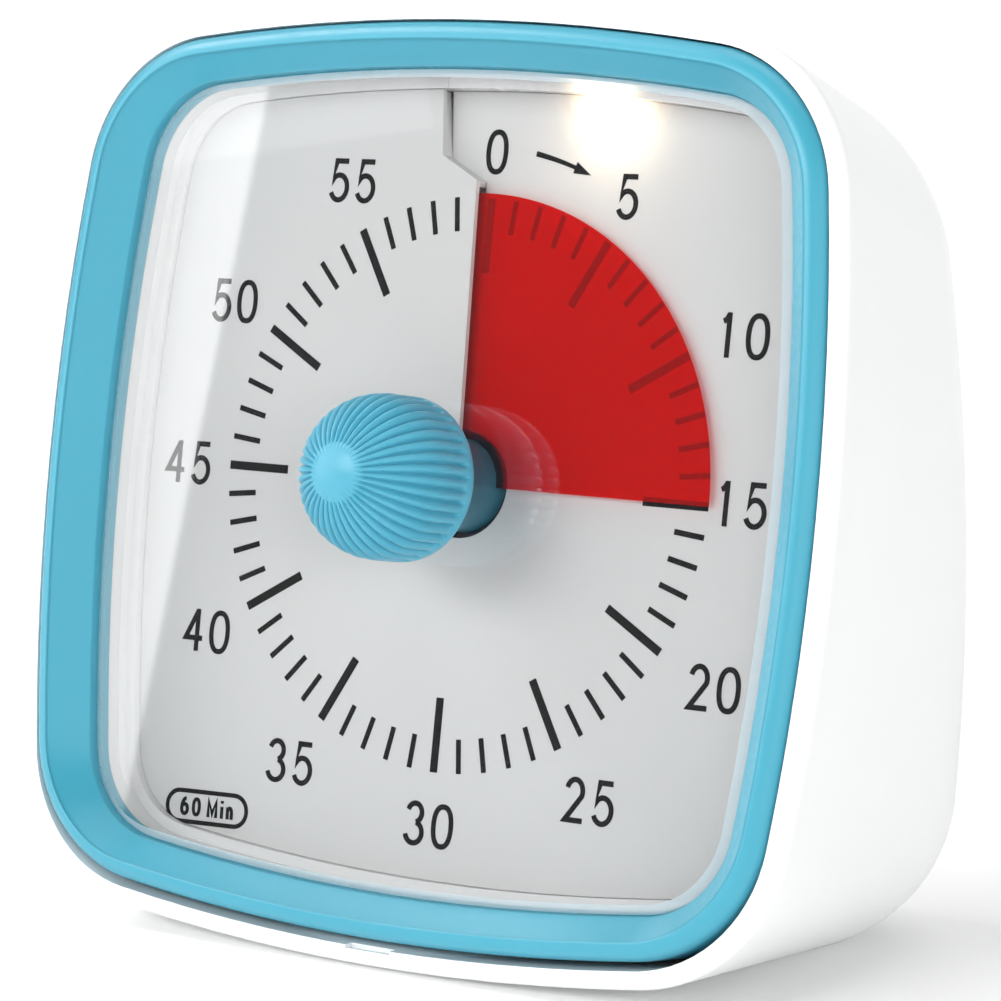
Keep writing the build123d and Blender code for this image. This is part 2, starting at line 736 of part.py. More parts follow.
# ---------------------------------------------------------------- tray behind the dial
with BuildPart() as dial_tray:
    with BuildSketch(face.offset(tray_floor - tray_floor_thickness)):
        add(window_outline(tray_wall - pass_gap))
    extrude(amount=tray_top - tray_floor + tray_floor_thickness)
    with BuildSketch(face.offset(tray_ledge)):
        add(window_outline(-pass_gap))
    extrude(amount=tray_top, mode=Mode.SUBTRACT)
    with BuildSketch(face.offset(tray_floor)):
        add(window_outline(-pass_gap - tray_ledge_width))
    extrude(amount=tray_ledge - tray_floor, mode=Mode.SUBTRACT)
    post_place = min(window_half_width, window_half_height) - tray_post_inset
    for across, up, minute in ((1, 1, 7.5), (1, -1, 22.5), (-1, -1, 37.5), (-1, 1, 52.5)):
        with BuildSketch(face.offset(tray_floor)):
            with Locations((across * post_place, up * post_place)):
                Circle(tray_post)
        extrude(amount=dial_pitch * minute / 60 - dial_thickness - touch_gap - tray_floor)
    with BuildSketch(face.offset(case_boss_front)):
        with Locations(*case_screw_places):
            Circle(tray_boss)
    extrude(amount=tray_floor - tray_floor_thickness - case_boss_front)
    with BuildSketch(face.offset(lamp_board_back)):
        with Locations(lamp_spot):
            with GridLocations(2 * (lamp_board_half + touch_gap) + lamp_lug, 0, 2, 1):
                Rectangle(lamp_lug, 2 * lamp_lug_height)
    extrude(amount=lamp_board_top - lamp_board_back)
    with BuildSketch(face.offset(guide_back - touch_gap)):
        with Locations(((guide_left + guide_right) / 2, window_half_height)):
            Rectangle(guide_right - guide_left + 2 * touch_gap, 2 * (tray_wall + tray_ledge_width))
    extrude(amount=tray_top - guide_back + touch_gap, mode=Mode.SUBTRACT)
    with BuildSketch(face.offset(tray_floor)):
        Circle(bushing_radius + pass_gap)
    extrude(amount=-tray_floor_thickness, mode=Mode.SUBTRACT)
    with BuildSketch(face.offset(case_boss_front)):
        with Locations(*case_screw_places):
            Circle(screw_radius + touch_gap)
    extrude(amount=case_screw_front + touch_gap - case_boss_front, mode=Mode.SUBTRACT)
    with BuildSketch(face.offset(tray_floor - tray_floor_thickness)):
        with Locations(*movement_screw_places):
            Circle(movement_screw_radius + touch_gap)
    extrude(amount=movement_screw_front + touch_gap - tray_floor + tray_floor_thickness, mode=Mode.SUBTRACT)
dial_tray.part.label = "dial_tray"
export_step(dial_tray.part, "parts/dial_tray.step")

# ---------------------------------------------------------------- light guide and lamp over the dial
with BuildPart() as light_guide:
    with BuildSketch(face.offset(guide_back)):
        add(window_outline(tray_wall - pass_gap))
        add(window_outline(-pass_gap - tray_ledge_width), mode=Mode.SUBTRACT)
    extrude(amount=tray_ledge - guide_back)
    with BuildSketch(face.offset(tray_ledge)):
        add(window_outline(tray_wall - pass_gap))
        add(window_outline(-pass_gap), mode=Mode.SUBTRACT)
    extrude(amount=tray_top - touch_gap - tray_ledge)
    with BuildSketch(face.offset(guide_back)):
        with Locations(((guide_left + guide_right) / 2, window_half_height)):
            Rectangle(guide_right - guide_left, 2 * (tray_wall + tray_ledge_width))
    extrude(amount=tray_top, mode=Mode.INTERSECT)
light_guide.part.label = "light_guide"
export_step(light_guide.part, "parts/light_guide.step")

with BuildPart() as led:
    with BuildSketch(face.offset(lamp_back)):
        with Locations(lamp_spot * Pos(0, touch_gap + lamp_depth / 2)):
            Rectangle(2 * lamp_half_width, lamp_depth)
    extrude(amount=lamp_height)
led.part.label = "led"
export_step(led.part, "parts/led.step")

with BuildPart() as led_board:
    with BuildSketch(face.offset(lamp_board_back)):
        with Locations(lamp_spot * Pos(0, touch_gap + lamp_depth + lamp_board_thickness / 2)):
            Rectangle(2 * lamp_board_half, lamp_board_thickness)
    extrude(amount=lamp_board_top - lamp_board_back)
led_board.part.label = "led_board"
export_step(led_board.part, "parts/led_board.step")

# ---------------------------------------------------------------- dial plate with its slit and step
dial_top = window_half_height - pass_gap - tray_ledge_width - dial_edge_gap
dial_reach = window_half_height + 5
step_corner = (-step_start * sin(radians(slit_angle)), step_start * cos(radians(slit_angle)))
with BuildPart() as dial_plate:
    add(
        climbing_plate(
            dial_hole, dial_reach * sqrt(2), -dial_thickness, dial_thickness, -ramp_lap, 360 + ramp_lap - slit_angle
        )
    )
    with BuildSketch(face.offset(tray_floor)):
        add(window_outline(-pass_gap - tray_ledge_width - dial_edge_gap))
    extrude(amount=tray_top - tray_floor, mode=Mode.INTERSECT)
    with BuildSketch(face.offset(tray_floor)):
        with BuildLine():
            Polyline(
                (0, 0), step_corner, step_knee, (step_end, dial_reach), (-dial_reach / 2, dial_reach), close=True
            )
        make_face()
    extrude(amount=dial_pitch / 3 - tray_floor, mode=Mode.SUBTRACT)
    with BuildSketch(face.offset(dial_pitch / 3)):
        with BuildLine():
            slit_end = (-dial_reach * tan(radians(slit_angle)), dial_reach)
            Polyline(step_corner, step_knee, (step_end, dial_reach), slit_end, close=True)
        make_face()
    extrude(amount=tray_top, mode=Mode.SUBTRACT)
    with BuildSketch(face.offset(-dial_thickness)):
        with BuildLine():
            outer = Polyline(step_corner, step_knee, (step_end, dial_top - 0.1))
            inner = offset(outer, amount=step_wall, side=Side.LEFT, closed=True)
        make_face()
    extrude(amount=dial_thickness + dial_pitch - pass_gap)
dial_plate.part.label = "dial_plate"
export_step(dial_plate.part, "parts/dial_plate.step")

# ---------------------------------------------------------------- red disc and its sleeve
with BuildPart() as time_disc:
    lead = 6 * rest_minutes
    add(climbing_plate(hub_radius, disc_radius, disc_rise, disc_thickness, lead - disc_extent, disc_extent))
time_disc.part.label = "time_disc"
export_step(time_disc.part, "parts/time_disc.step")

with BuildPart() as disc_hub:
    with BuildSketch(face.offset(hub_back)):
        Circle(hub_radius)
        Circle(hub_radius - hub_wall, mode=Mode.SUBTRACT)
        with Locations((hub_radius - hub_wall - key_depth, 0)):
            Rectangle(key_depth + hub_wall / 2, key_width, align=(Align.MIN, Align.CENTER))
    extrude(amount=hub_front - hub_back)
disc_hub.part.label = "disc_hub"
export_step(disc_hub.part, "parts/disc_hub.step")

# ---------------------------------------------------------------- knob with its neck
neck_radius = hub_radius - hub_wall - running_gap
knob_nose = knob_dome + knob_radius
bore_radius = shaft_radius + touch_gap / 2


def over_dome(rise, angle):
    """A point over the dome at an angle from the knob's axis."""
    reach = knob_radius + rise
    return (reach * sin(radians(angle)), knob_dome + reach * cos(radians(angle)))


spot_angle = degrees(knob_spot / knob_radius)
with BuildPart() as flute:
    with BuildLine(side) as flute_path:
        up = Line((knob_radius + 0.13, flute_start), (knob_radius + 0.13, knob_dome))
        ThreePointArc(up @ 1, over_dome(0.26, 52), over_dome(flute_radius - 0.02, spot_angle))
    with BuildSketch(Plane(origin=flute_path.line @ 0, z_dir=flute_path.line % 0)):
        Circle(flute_radius)
    sweep(path=flute_path.line)

with BuildPart() as knob:
    with BuildSketch(side):
        with BuildLine():
            Polyline(
                (0, bore_front), (bore_radius, bore_front), (bore_radius, neck_back), (neck_radius, neck_back),
                (neck_radius, knob_back), (knob_radius - 0.4, knob_back), (knob_radius, knob_back + 0.4),
                (knob_radius, knob_dome),
            )
            ThreePointArc((knob_radius, knob_dome), over_dome(0, 45), (0, knob_nose))
            Line((0, knob_nose), (0, bore_front))
        make_face()
    revolve(axis=dial_axis)
    with BuildSketch(face.offset(neck_back)):
        with Locations((neck_radius, 0)):
            Rectangle(2 * (key_depth + touch_gap), key_width + 2 * touch_gap)
    extrude(amount=knob_back - neck_back, mode=Mode.SUBTRACT)
    for rib in range(knob_ribs):
        add(flute.part.rotate(dial_axis, 360 / knob_ribs * (rib + 0.5)), mode=Mode.SUBTRACT)
knob.part.label = "knob"
export_step(knob.part, "parts/knob.step")

# ---------------------------------------------------------------- shaft, clutch spring and clip
with BuildPart() as centre_shaft:
    with BuildSketch(face.offset(shaft_back)):
        Circle(shaft_radius)
    extrude(amount=shaft_front - shaft_back)
    with BuildSketch(face.offset(shaft_back - pivot_length)):
        Circle(shaft_pivot)
    extrude(amount=pivot_length)
    with BuildSketch(face.offset(collar_front)):
        Circle(collar_radius)
    extrude(amount=-collar_thickness)
centre_shaft.part.label = "centre_shaft"
export_step(centre_shaft.part, "parts/centre_shaft.step")

clutch_front = centre_level - wheel_width / 2 - touch_gap
with BuildPart() as clutch_spring:
    with BuildSketch(side):
        with BuildLine():
            Polyline(
                (bore_radius, collar_front),
                (clutch_radius, clutch_front - clutch_thickness),
                (clutch_radius, clutch_front),
                (bore_radius, collar_front + clutch_thickness),
                close=True,
            )
        make_face()
    revolve(axis=dial_axis)
clutch_spring.part.label = "clutch_spring"
export_step(clutch_spring.part, "parts/clutch_spring.step")

with BuildPart() as shaft_clip:
    with BuildSketch(face.offset(centre_level + wheel_width / 2 + touch_gap)):
        Circle(collar_radius)
        Circle(shaft_radius, mode=Mode.SUBTRACT)
        with Locations((0, -collar_radius)):
            Rectangle(1.6, 2 * collar_radius - 1, mode=Mode.SUBTRACT)
    extrude(amount=clip_thickness)
shaft_clip.part.label = "shaft_clip"
export_step(shaft_clip.part, "parts/shaft_clip.step")

# ---------------------------------------------------------------- case screws
with BuildPart() as case_screws:
    with BuildSketch(face.offset(case_screw_seat)):
        with Locations(*case_screw_places):
            Circle(screw_radius)
    extrude(amount=case_screw_front - case_screw_seat)
    with BuildSketch(face.offset(case_screw_seat)):
        with Locations(*case_screw_places):
            Circle(screw_head_radius)
    extrude(amount=-screw_head_height)
    with BuildSketch(face.offset(case_screw_seat - screw_head_height)):
        with Locations(*case_screw_places):
            add(cross_slot(2.6))
    extrude(amount=0.8, mode=Mode.SUBTRACT)
case_screws.part.label = "case_screws"
export_step(case_screws.part, "parts/case_screws.step")

# ---------------------------------------------------------------- battery and its contacts
battery_left = battery_shift - (battery_body + battery_nub) / 2
battery_right = battery_left + battery_body
with BuildPart() as battery:
    with BuildSketch(bay.offset(battery_left)):
        Circle(battery_radius)
    extrude(amount=battery_body)
    fillet(battery.edges(), 0.4)
    with BuildSketch(bay.offset(battery_right)):
        Circle(battery_nub_radius)
    extrude(amount=battery_nub)
battery.part.label = "battery"
export_step(battery.part, "parts/battery.step")

sheet_right = bay_half_length - touch_gap - contact_sheet
with BuildPart() as battery_plate:
    with BuildSketch(bay.offset(sheet_right)):
        Rectangle(2 * contact_half_depth, 2 * contact_half_height)
    extrude(amount=contact_sheet)
    with BuildSketch(bay.offset(battery_right + battery_nub + touch_gap)):
        Circle(battery_nub_radius)
    extrude(amount=sheet_right - battery_right - battery_nub - touch_gap)
battery_plate.part.label = "battery_plate"
export_step(battery_plate.part, "parts/battery_plate.step")

with BuildPart() as coil:
    with BuildLine() as winding:
        coil_height = sheet_right + battery_left - touch_gap - spring_wire / 2
        Helix(pitch=spring_pitch, height=coil_height, radius=spring_radius)
    with BuildSketch(Plane(origin=winding.line @ 0, z_dir=winding.line % 0)):
        Circle(spring_wire)
    sweep(path=winding.line, is_frenet=True)
with BuildPart() as battery_spring:
    with BuildSketch(bay.offset(-sheet_right)):
        Rectangle(2 * contact_half_depth, 2 * contact_half_height)
    extrude(amount=-contact_sheet)
    add(bay.offset(-sheet_right - spring_wire / 2).location * coil.part)
battery_spring.part.label = "battery_spring"
export_step(battery_spring.part, "parts/battery_spring.step")

# ---------------------------------------------------------------- battery door
with BuildPart() as battery_door:
    with BuildSketch(rear):
        with Locations((0, bay_middle)):
            RectangleRounded(2 * door_half_width, 2 * door_half_height, door_corner)
    extrude(amount=-door_thickness)
    with BuildSketch(rear.offset(-door_thickness)):
        with Locations((0, bay_middle)):
            with GridLocations(0, 2 * bay_half_height - 2 * seat_gap - door_rib_wall, 1, 2):
                Rectangle(2 * (bay_opening - seat_gap), door_rib_wall)
    extrude(amount=-door_rib)
    with BuildSketch(rear):
        with Locations((0, bay_middle + door_half_height - 3)):
            with GridLocations(0, 1.6, 1, 3):
                SlotOverall(12, 0.8)
    extrude(amount=-door_groove, mode=Mode.SUBTRACT)
battery_door.part.label = "battery_door"
export_step(battery_door.part, "parts/battery_door.step")

# ---------------------------------------------------------------- circuit board, chip and board screws
with BuildPart() as main_board:
    with BuildSketch(rear.offset(-board_depth)):
        with Locations(board_place):
            Rectangle(2 * board_half_width, 2 * board_half_height)
            with Locations(board_screw_reach, (-board_screw_reach[0], -board_screw_reach[1])):
                Circle(board_screw_radius + touch_gap, mode=Mode.SUBTRACT)
    extrude(amount=-board_thickness)
main_board.part.label = "main_board"
export_step(main_board.part, "parts/main_board.step")

with BuildPart() as control_chip:
    with BuildSketch(rear.offset(-board_depth - board_thickness)):
        with Locations(board_place):
            Rectangle(2 * chip_half, 2 * chip_half)
            with GridLocations(2 * chip_half + chip_leg / 2, chip_leg_pitch, 2, 5):
                Rectangle(chip_leg, chip_leg_width)
    extrude(amount=-chip_height / 3)
    with BuildSketch(rear.offset(-board_depth - board_thickness)):
        with Locations(board_place):
            Rectangle(2 * chip_half, 2 * chip_half)
    extrude(amount=-chip_height)
control_chip.part.label = "control_chip"
export_step(control_chip.part, "parts/control_chip.step")

with BuildPart() as board_screws:
    with BuildSketch(rear.offset(-board_depth - board_thickness)):
        with Locations(board_place):
            with Locations(board_screw_reach, (-board_screw_reach[0], -board_screw_reach[1])):
                Circle(board_screw_radius)
    extrude(amount=board_thickness + board_screw_depth)
    with BuildSketch(rear.offset(-board_depth - board_thickness)):
        with Locations(board_place):
            with Locations(board_screw_reach, (-board_screw_reach[0], -board_screw_reach[1])):
                Circle(small_head_radius)
    extrude(amount=-small_head_height)
board_screws.part.label = "board_screws"
export_step(board_screws.part, "parts/board_screws.step")

# ---------------------------------------------------------------- slide switch
slot_half_length = slider_half_length + switch_travel + seat_gap
slot_half_height = slider_half_height + seat_gap
foot_front = board_depth - switch_wall
foot_back = switch_depth + switch_wall
with BuildPart() as switch_body:
    with BuildSketch(rear.offset(-switch_depth)):
        with Locations(switch_place):
            Rectangle(2 * switch_half_length, 2 * switch_half_height)
    extrude(amount=switch_depth - board_depth)
    with BuildSketch(rear.offset(-foot_back)):
        with Locations(switch_place):
            Rectangle(
                2 * (slot_half_length + slider_foot), 2 * (slot_half_height + slider_foot)
            )
    extrude(amount=foot_back - foot_front, mode=Mode.SUBTRACT)
    with BuildSketch(rear.offset(-switch_depth)):
        with Locations(switch_place):
            Rectangle(2 * slot_half_length, 2 * slot_half_height)
    extrude(amount=switch_depth - foot_front, mode=Mode.SUBTRACT)
switch_body.part.label = "switch_body"
export_step(switch_body.part, "parts/switch_body.step")

with BuildPart() as switch_slider:
    with BuildSketch(rear.offset(slider_proud)):
        with Locations(switch_place):
            Rectangle(2 * slider_half_length, 2 * slider_half_height)
    extrude(amount=-slider_proud - foot_back - seat_gap)
    with BuildSketch(rear.offset(-foot_back - touch_gap)):
        with Locations(switch_place):
            Rectangle(2 * (slider_half_length + slider_foot), 2 * (slider_half_height + slider_foot))
    extrude(amount=foot_back - foot_front + 2 * touch_gap)
    with BuildSketch(rear.offset(slider_proud)):
        with Locations(switch_place):
            with GridLocations(0.9, 0, 3, 1):
                Rectangle(0.35, 2 * slider_half_height)
    extrude(amount=-0.3, mode=Mode.SUBTRACT)
switch_slider.part.label = "switch_slider"
export_step(switch_slider.part, "parts/switch_slider.step")

# ---------------------------------------------------------------- sounder
with BuildPart() as buzzer:
    with BuildSketch(rear.offset(-rear_wall - touch_gap)):
        with Locations(buzzer_place):
            Circle(buzzer_radius)
    extrude(amount=-buzzer_height)
    with BuildSketch(rear.offset(-rear_wall - touch_gap)):
        with Locations(buzzer_place):
            Circle(1.6)
    extrude(amount=-1.2, mode=Mode.SUBTRACT)
buzzer.part.label = "buzzer"
export_step(buzzer.part, "parts/buzzer.step")
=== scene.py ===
import json
from math import atan2, cos, degrees, pi, radians, sin, sqrt

import bmesh
import bpy
from mathutils import Matrix, Vector


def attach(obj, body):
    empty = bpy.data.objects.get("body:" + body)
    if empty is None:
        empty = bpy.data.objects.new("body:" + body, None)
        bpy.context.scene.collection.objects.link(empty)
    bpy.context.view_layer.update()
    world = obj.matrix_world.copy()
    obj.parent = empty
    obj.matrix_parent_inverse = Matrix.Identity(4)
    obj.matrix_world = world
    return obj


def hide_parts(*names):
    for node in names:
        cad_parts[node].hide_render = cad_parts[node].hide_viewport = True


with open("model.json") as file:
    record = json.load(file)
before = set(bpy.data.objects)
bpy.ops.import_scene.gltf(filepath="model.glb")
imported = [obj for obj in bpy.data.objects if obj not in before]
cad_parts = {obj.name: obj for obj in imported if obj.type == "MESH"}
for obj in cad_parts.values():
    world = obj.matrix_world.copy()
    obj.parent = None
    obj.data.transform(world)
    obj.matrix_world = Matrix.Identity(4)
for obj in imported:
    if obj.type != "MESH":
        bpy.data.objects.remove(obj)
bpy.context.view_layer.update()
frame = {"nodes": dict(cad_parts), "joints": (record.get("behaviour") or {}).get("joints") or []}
nodes = frame["nodes"]
scene = bpy.context.scene
print("timer: frame loaded with", len(nodes), "nodes")

# the dial's own frame in millimetres: x to the right, y up the face, z out of the face
turnJoint = next(j for j in frame["joints"] if j["name"] == "knob_turn")
dialMiddle = Vector(turnJoint["pos_m"])
outOfFace = -Vector(turnJoint["axis"])
upFace = outOfFace.cross(Vector((1, 0, 0)))


def axesMatrix(across, upward, outward):
    return Matrix((across, upward, outward)).transposed().to_4x4()


faceAxes = axesMatrix(Vector((1, 0, 0)), upFace, outOfFace)
faceMatrix = Matrix.Translation(dialMiddle) @ faceAxes @ Matrix.Scale(0.001, 4)
mergeGap = 0.0005  # points nearer than this, in millimetres, are one

# the dial climbs once around, with a slit at its top
climb = {"pitch": 1.6, "slit": 1.6, "kneeRadius": 27.2, "kneeAngle": 9.3}


def dialHeight(x, y):
    seam = climb["slit"] if sqrt(x * x + y * y) < climb["kneeRadius"] else climb["kneeAngle"]
    angle = (degrees(atan2(x, y)) + seam) % 360 - seam
    return climb["pitch"] * angle / 360


def srgb(red, green, blue):
    shares = (v / 255 for v in (red, green, blue))
    return tuple(((v + 0.055) / 1.055) ** 2.4 if v > 0.04045 else v / 12.92 for v in shares)


def placeMesh(name, bm, body, material, smooth=True):
    bmesh.ops.transform(bm, matrix=faceMatrix, verts=bm.verts)
    mesh = bpy.data.meshes.new(name)
    bm.to_mesh(mesh)
    bm.free()
    piece = bpy.data.objects.new(name, mesh)
    scene.collection.objects.link(piece)
    mesh.materials.append(material)
    for polygon in mesh.polygons:
        polygon.use_smooth = smooth
    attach(piece, body)
    return piece


# shader groups that the finishes share
def newGroup(name, entries, exits):
    group = bpy.data.node_groups.new(name, "ShaderNodeTree")
    for label, start in entries:
        socket = group.interface.new_socket(name=label, in_out="INPUT", socket_type="NodeSocketFloat")
        socket.default_value = start
    for label in exits:
        group.interface.new_socket(name=label, in_out="OUTPUT", socket_type="NodeSocketFloat")
    return group, group.nodes.new("NodeGroupInput"), group.nodes.new("NodeGroupOutput")


def grainGroup():
    group, entry, leave = newGroup(
        "mouldedGrain", (("Scale", 900.0), ("Drift Scale", 30.0), ("Drift", 0.04)), ("Grain", "Shade")
    )
    wires = group.links
    coords = group.nodes.new("ShaderNodeTexCoord")
    fine = group.nodes.new("ShaderNodeTexNoise")
    fine.inputs["Detail"].default_value = 3
    drift = group.nodes.new("ShaderNodeTexNoise")
    drift.inputs["Detail"].default_value = 4
    spread = group.nodes.new("ShaderNodeMapRange")
    spread.inputs["From Min"].default_value = 0.3
    spread.inputs["From Max"].default_value = 0.7
    spread.inputs["To Max"].default_value = 1
    low = group.nodes.new("ShaderNodeMath")
    low.operation = "SUBTRACT"
    low.inputs[0].default_value = 1
    wires.new(coords.outputs["Object"], fine.inputs["Vector"])
    wires.new(coords.outputs["Object"], drift.inputs["Vector"])
    wires.new(entry.outputs["Scale"], fine.inputs["Scale"])
    wires.new(entry.outputs["Drift Scale"], drift.inputs["Scale"])
    wires.new(entry.outputs["Drift"], low.inputs[1])
    wires.new(low.outputs[0], spread.inputs["To Min"])
    wires.new(drift.outputs["Fac"], spread.inputs["Value"])
    wires.new(fine.outputs["Fac"], leave.inputs["Grain"])
    wires.new(spread.outputs["Result"], leave.inputs["Shade"])
    return group


def nearGroup(name, middle):
    # how near a place on the face is to the middle: 1 at it, 0 at the reach
    group, entry, leave = newGroup(name, (("Reach", 0.014), ("Flatten", 1.0)), ("Glow",))
    wires = group.links
    coords = group.nodes.new("ShaderNodeTexCoord")
    offset = group.nodes.new("ShaderNodeVectorMath")
    offset.operation = "SUBTRACT"
    offset.inputs[1].default_value = middle
    across = group.nodes.new("ShaderNodeVectorMath")
    across.operation = "DOT_PRODUCT"
    across.inputs[1].default_value = (1.0, 0.0, 0.0)
    along = group.nodes.new("ShaderNodeVectorMath")
    along.operation = "DOT_PRODUCT"
    along.inputs[1].default_value = upFace
    squeezed = group.nodes.new("ShaderNodeMath")
    squeezed.operation = "MULTIPLY"
    join = group.nodes.new("ShaderNodeCombineXYZ")
    length = group.nodes.new("ShaderNodeVectorMath")
    length.operation = "LENGTH"
    fall = group.nodes.new("ShaderNodeMapRange")
    fall.interpolation_type = "SMOOTHSTEP"
    fall.inputs["From Min"].default_value = 0
    fall.inputs["To Min"].default_value = 1
    fall.inputs["To Max"].default_value = 0
    wires.new(coords.outputs["Object"], offset.inputs[0])
    wires.new(offset.outputs["Vector"], across.inputs[0])
    wires.new(offset.outputs["Vector"], along.inputs[0])
    wires.new(across.outputs["Value"], squeezed.inputs[0])
    wires.new(entry.outputs["Flatten"], squeezed.inputs[1])
    wires.new(squeezed.outputs[0], join.inputs["X"])
    wires.new(along.outputs["Value"], join.inputs["Y"])
    wires.new(join.outputs["Vector"], length.inputs[0])
    wires.new(length.outputs["Value"], fall.inputs["Value"])
    wires.new(entry.outputs["Reach"], fall.inputs["From Max"])
    wires.new(fall.outputs["Result"], leave.inputs["Glow"])
    return group


def brushedGroup():
    group, entry, leave = newGroup("brushedLines", (("Scale", 500.0), ("Stretch", 12.0)), ("Lines",))
    wires = group.links
    coords = group.nodes.new("ShaderNodeTexCoord")
    join = group.nodes.new("ShaderNodeCombineXYZ")
    scaled = group.nodes.new("ShaderNodeVectorMath")
    scaled.operation = "MULTIPLY"
    noise = group.nodes.new("ShaderNodeTexNoise")
    noise.inputs["Detail"].default_value = 2
    join.inputs["X"].default_value = 1
    join.inputs["Z"].default_value = 1
    wires.new(entry.outputs["Stretch"], join.inputs["Y"])
    wires.new(coords.outputs["Object"], scaled.inputs[0])
    wires.new(join.outputs["Vector"], scaled.inputs[1])
    wires.new(scaled.outputs["Vector"], noise.inputs["Vector"])
    wires.new(entry.outputs["Scale"], noise.inputs["Scale"])
    wires.new(noise.outputs["Fac"], leave.inputs["Lines"])
    return group


lampMiddle = (12.2, 37.6, 2.0)  # in millimetres on the face
grain = grainGroup()
# the lamp's light on the dial and tray is painted: an emission that falls off round the lamp
paintedLampGlow = nearGroup("paintedLampGlow", faceMatrix @ Vector(lampMiddle))
# the film's painted shadow next to the hub is measured from the dial's middle
hubShade = nearGroup("hubShade", faceMatrix.translation)
brushed = brushedGroup()
print("timer: shader groups ready")


def startFinish(name):
    material = bpy.data.materials.new(name)
    material.use_nodes = True
    return material, material.node_tree, material.node_tree.nodes["Principled BSDF"]


def varyRoughness(tree, shader, mask, roughness, drift):
    gloss = tree.nodes.new("ShaderNodeMapRange")
    gloss.inputs["From Min"].default_value = 0.35
    gloss.inputs["From Max"].default_value = 0.65
    gloss.inputs["To Min"].default_value = roughness - drift
    gloss.inputs["To Max"].default_value = roughness + drift
    tree.links.new(mask, gloss.inputs["Value"])
    tree.links.new(gloss.outputs["Result"], shader.inputs["Roughness"])


def addBump(tree, shader, mask, strength, distance=0.0001):
    bump = tree.nodes.new("ShaderNodeBump")
    bump.inputs["Strength"].default_value = strength
    bump.inputs["Distance"].default_value = distance
    tree.links.new(mask, bump.inputs["Height"])
    tree.links.new(bump.outputs["Normal"], shader.inputs["Normal"])


def fillRamp(ramp, stops):
    elements = ramp.color_ramp.elements
    while len(elements) < len(stops):
        elements.new(0.5)
    for element, (position, color) in zip(elements, stops):
        element.position = position
        element.color = (*color, 1)


# colour of the lamp's glow painted into a surface as emission, from out of its reach to beside it
glowStops = (
    (0.0, (0, 0, 0)), (0.2, (0.03, 0.018, 0.006)), (0.42, (0.22, 0.15, 0.07)), (0.62, (0.8, 0.66, 0.42)),
    (1, (1, 1, 0.95)),
)


# paints the lamp's light into a surface as emission
def addPaintedGlow(tree, shader, reach, flatten, strength):
    glow = tree.nodes.new("ShaderNodeGroup")
    glow.node_tree = paintedLampGlow
    glow.inputs["Reach"].default_value = reach
    glow.inputs["Flatten"].default_value = flatten
    ramp = tree.nodes.new("ShaderNodeValToRGB")
    fillRamp(ramp, glowStops)
    tree.links.new(glow.outputs["Glow"], ramp.inputs["Fac"])
    tree.links.new(ramp.outputs["Color"], shader.inputs["Emission Color"])
    shader.inputs["Emission Strength"].default_value = strength


def moulded(name, color, roughness, **more):
    material, tree, shader = startFinish(name)
    texture = tree.nodes.new("ShaderNodeGroup")
    texture.node_tree = grain
    texture.inputs["Scale"].default_value = more.get("grainScale", 900)
    texture.inputs["Drift Scale"].default_value = more.get("driftScale", 30)
    texture.inputs["Drift"].default_value = more.get("drift", 0.04)
    tint = tree.nodes.new("ShaderNodeMix")
    tint.data_type = "RGBA"
    tint.blend_type = "MULTIPLY"
    tint.inputs["Factor"].default_value = 1
    tint.inputs["A"].default_value = (*color, 1)
    tree.links.new(texture.outputs["Shade"], tint.inputs["B"])
    tree.links.new(tint.outputs["Result"], shader.inputs["Base Color"])
    varyRoughness(tree, shader, texture.outputs["Grain"], roughness, 0.04)
    bump = more.get("bump", 0.05)
    if bump:
        addBump(tree, shader, texture.outputs["Grain"], bump)
    shader.inputs["Specular IOR Level"].default_value = more.get("specular", 0.5)
    if "subsurface" in more:
        shader.inputs["Subsurface Weight"].default_value = more["subsurface"]
        shader.inputs["Subsurface Radius"].default_value = (0.6, 0.6, 0.6)
        shader.inputs["Subsurface Scale"].default_value = 0.001
    if "glow" in more:
        addPaintedGlow(tree, shader, *more["glow"])
    if "shine" in more:
        tree.links.new(tint.outputs["Result"], shader.inputs["Emission Color"])
        shader.inputs["Emission Strength"].default_value = more["shine"]
    return material


def metal(name, color, roughness, **more):
    material, tree, shader = startFinish(name)
    lines = tree.nodes.new("ShaderNodeGroup")
    lines.node_tree = brushed
    lines.inputs["Scale"].default_value = more.get("scale", 500)
    lines.inputs["Stretch"].default_value = more.get("stretch", 12)
    tint = tree.nodes.new("ShaderNodeMix")
    tint.data_type = "RGBA"
    tint.inputs["A"].default_value = (*color, 1)
    tint.inputs["B"].default_value = (*(v * 0.78 for v in color), 1)
    tree.links.new(lines.outputs["Lines"], tint.inputs["Factor"])
    tree.links.new(tint.outputs["Result"], shader.inputs["Base Color"])
    varyRoughness(tree, shader, lines.outputs["Lines"], roughness, 0.08)
    addBump(tree, shader, lines.outputs["Lines"], 0.08)
    shader.inputs["Metallic"].default_value = 1
    return material


def circuitGreen():
    # solder mask with faint copper tracks under it
    material, tree, shader = startFinish("boardGreen")
    coords = tree.nodes.new("ShaderNodeTexCoord")
    tracks = tree.nodes.new("ShaderNodeTexBrick")
    tracks.inputs["Scale"].default_value = 260
    tracks.inputs["Mortar Size"].default_value = 0.03
    tracks.inputs["Color1"].default_value = (0.012, 0.1, 0.035, 1)
    tracks.inputs["Color2"].default_value = (0.016, 0.12, 0.042, 1)
    tracks.inputs["Mortar"].default_value = (0.05, 0.22, 0.07, 1)
    tree.links.new(coords.outputs["Object"], tracks.inputs["Vector"])
    tree.links.new(tracks.outputs["Color"], shader.inputs["Base Color"])
    varyRoughness(tree, shader, tracks.outputs["Fac"], 0.34, 0.08)
    addBump(tree, shader, tracks.outputs["Fac"], 0.1)
    return material


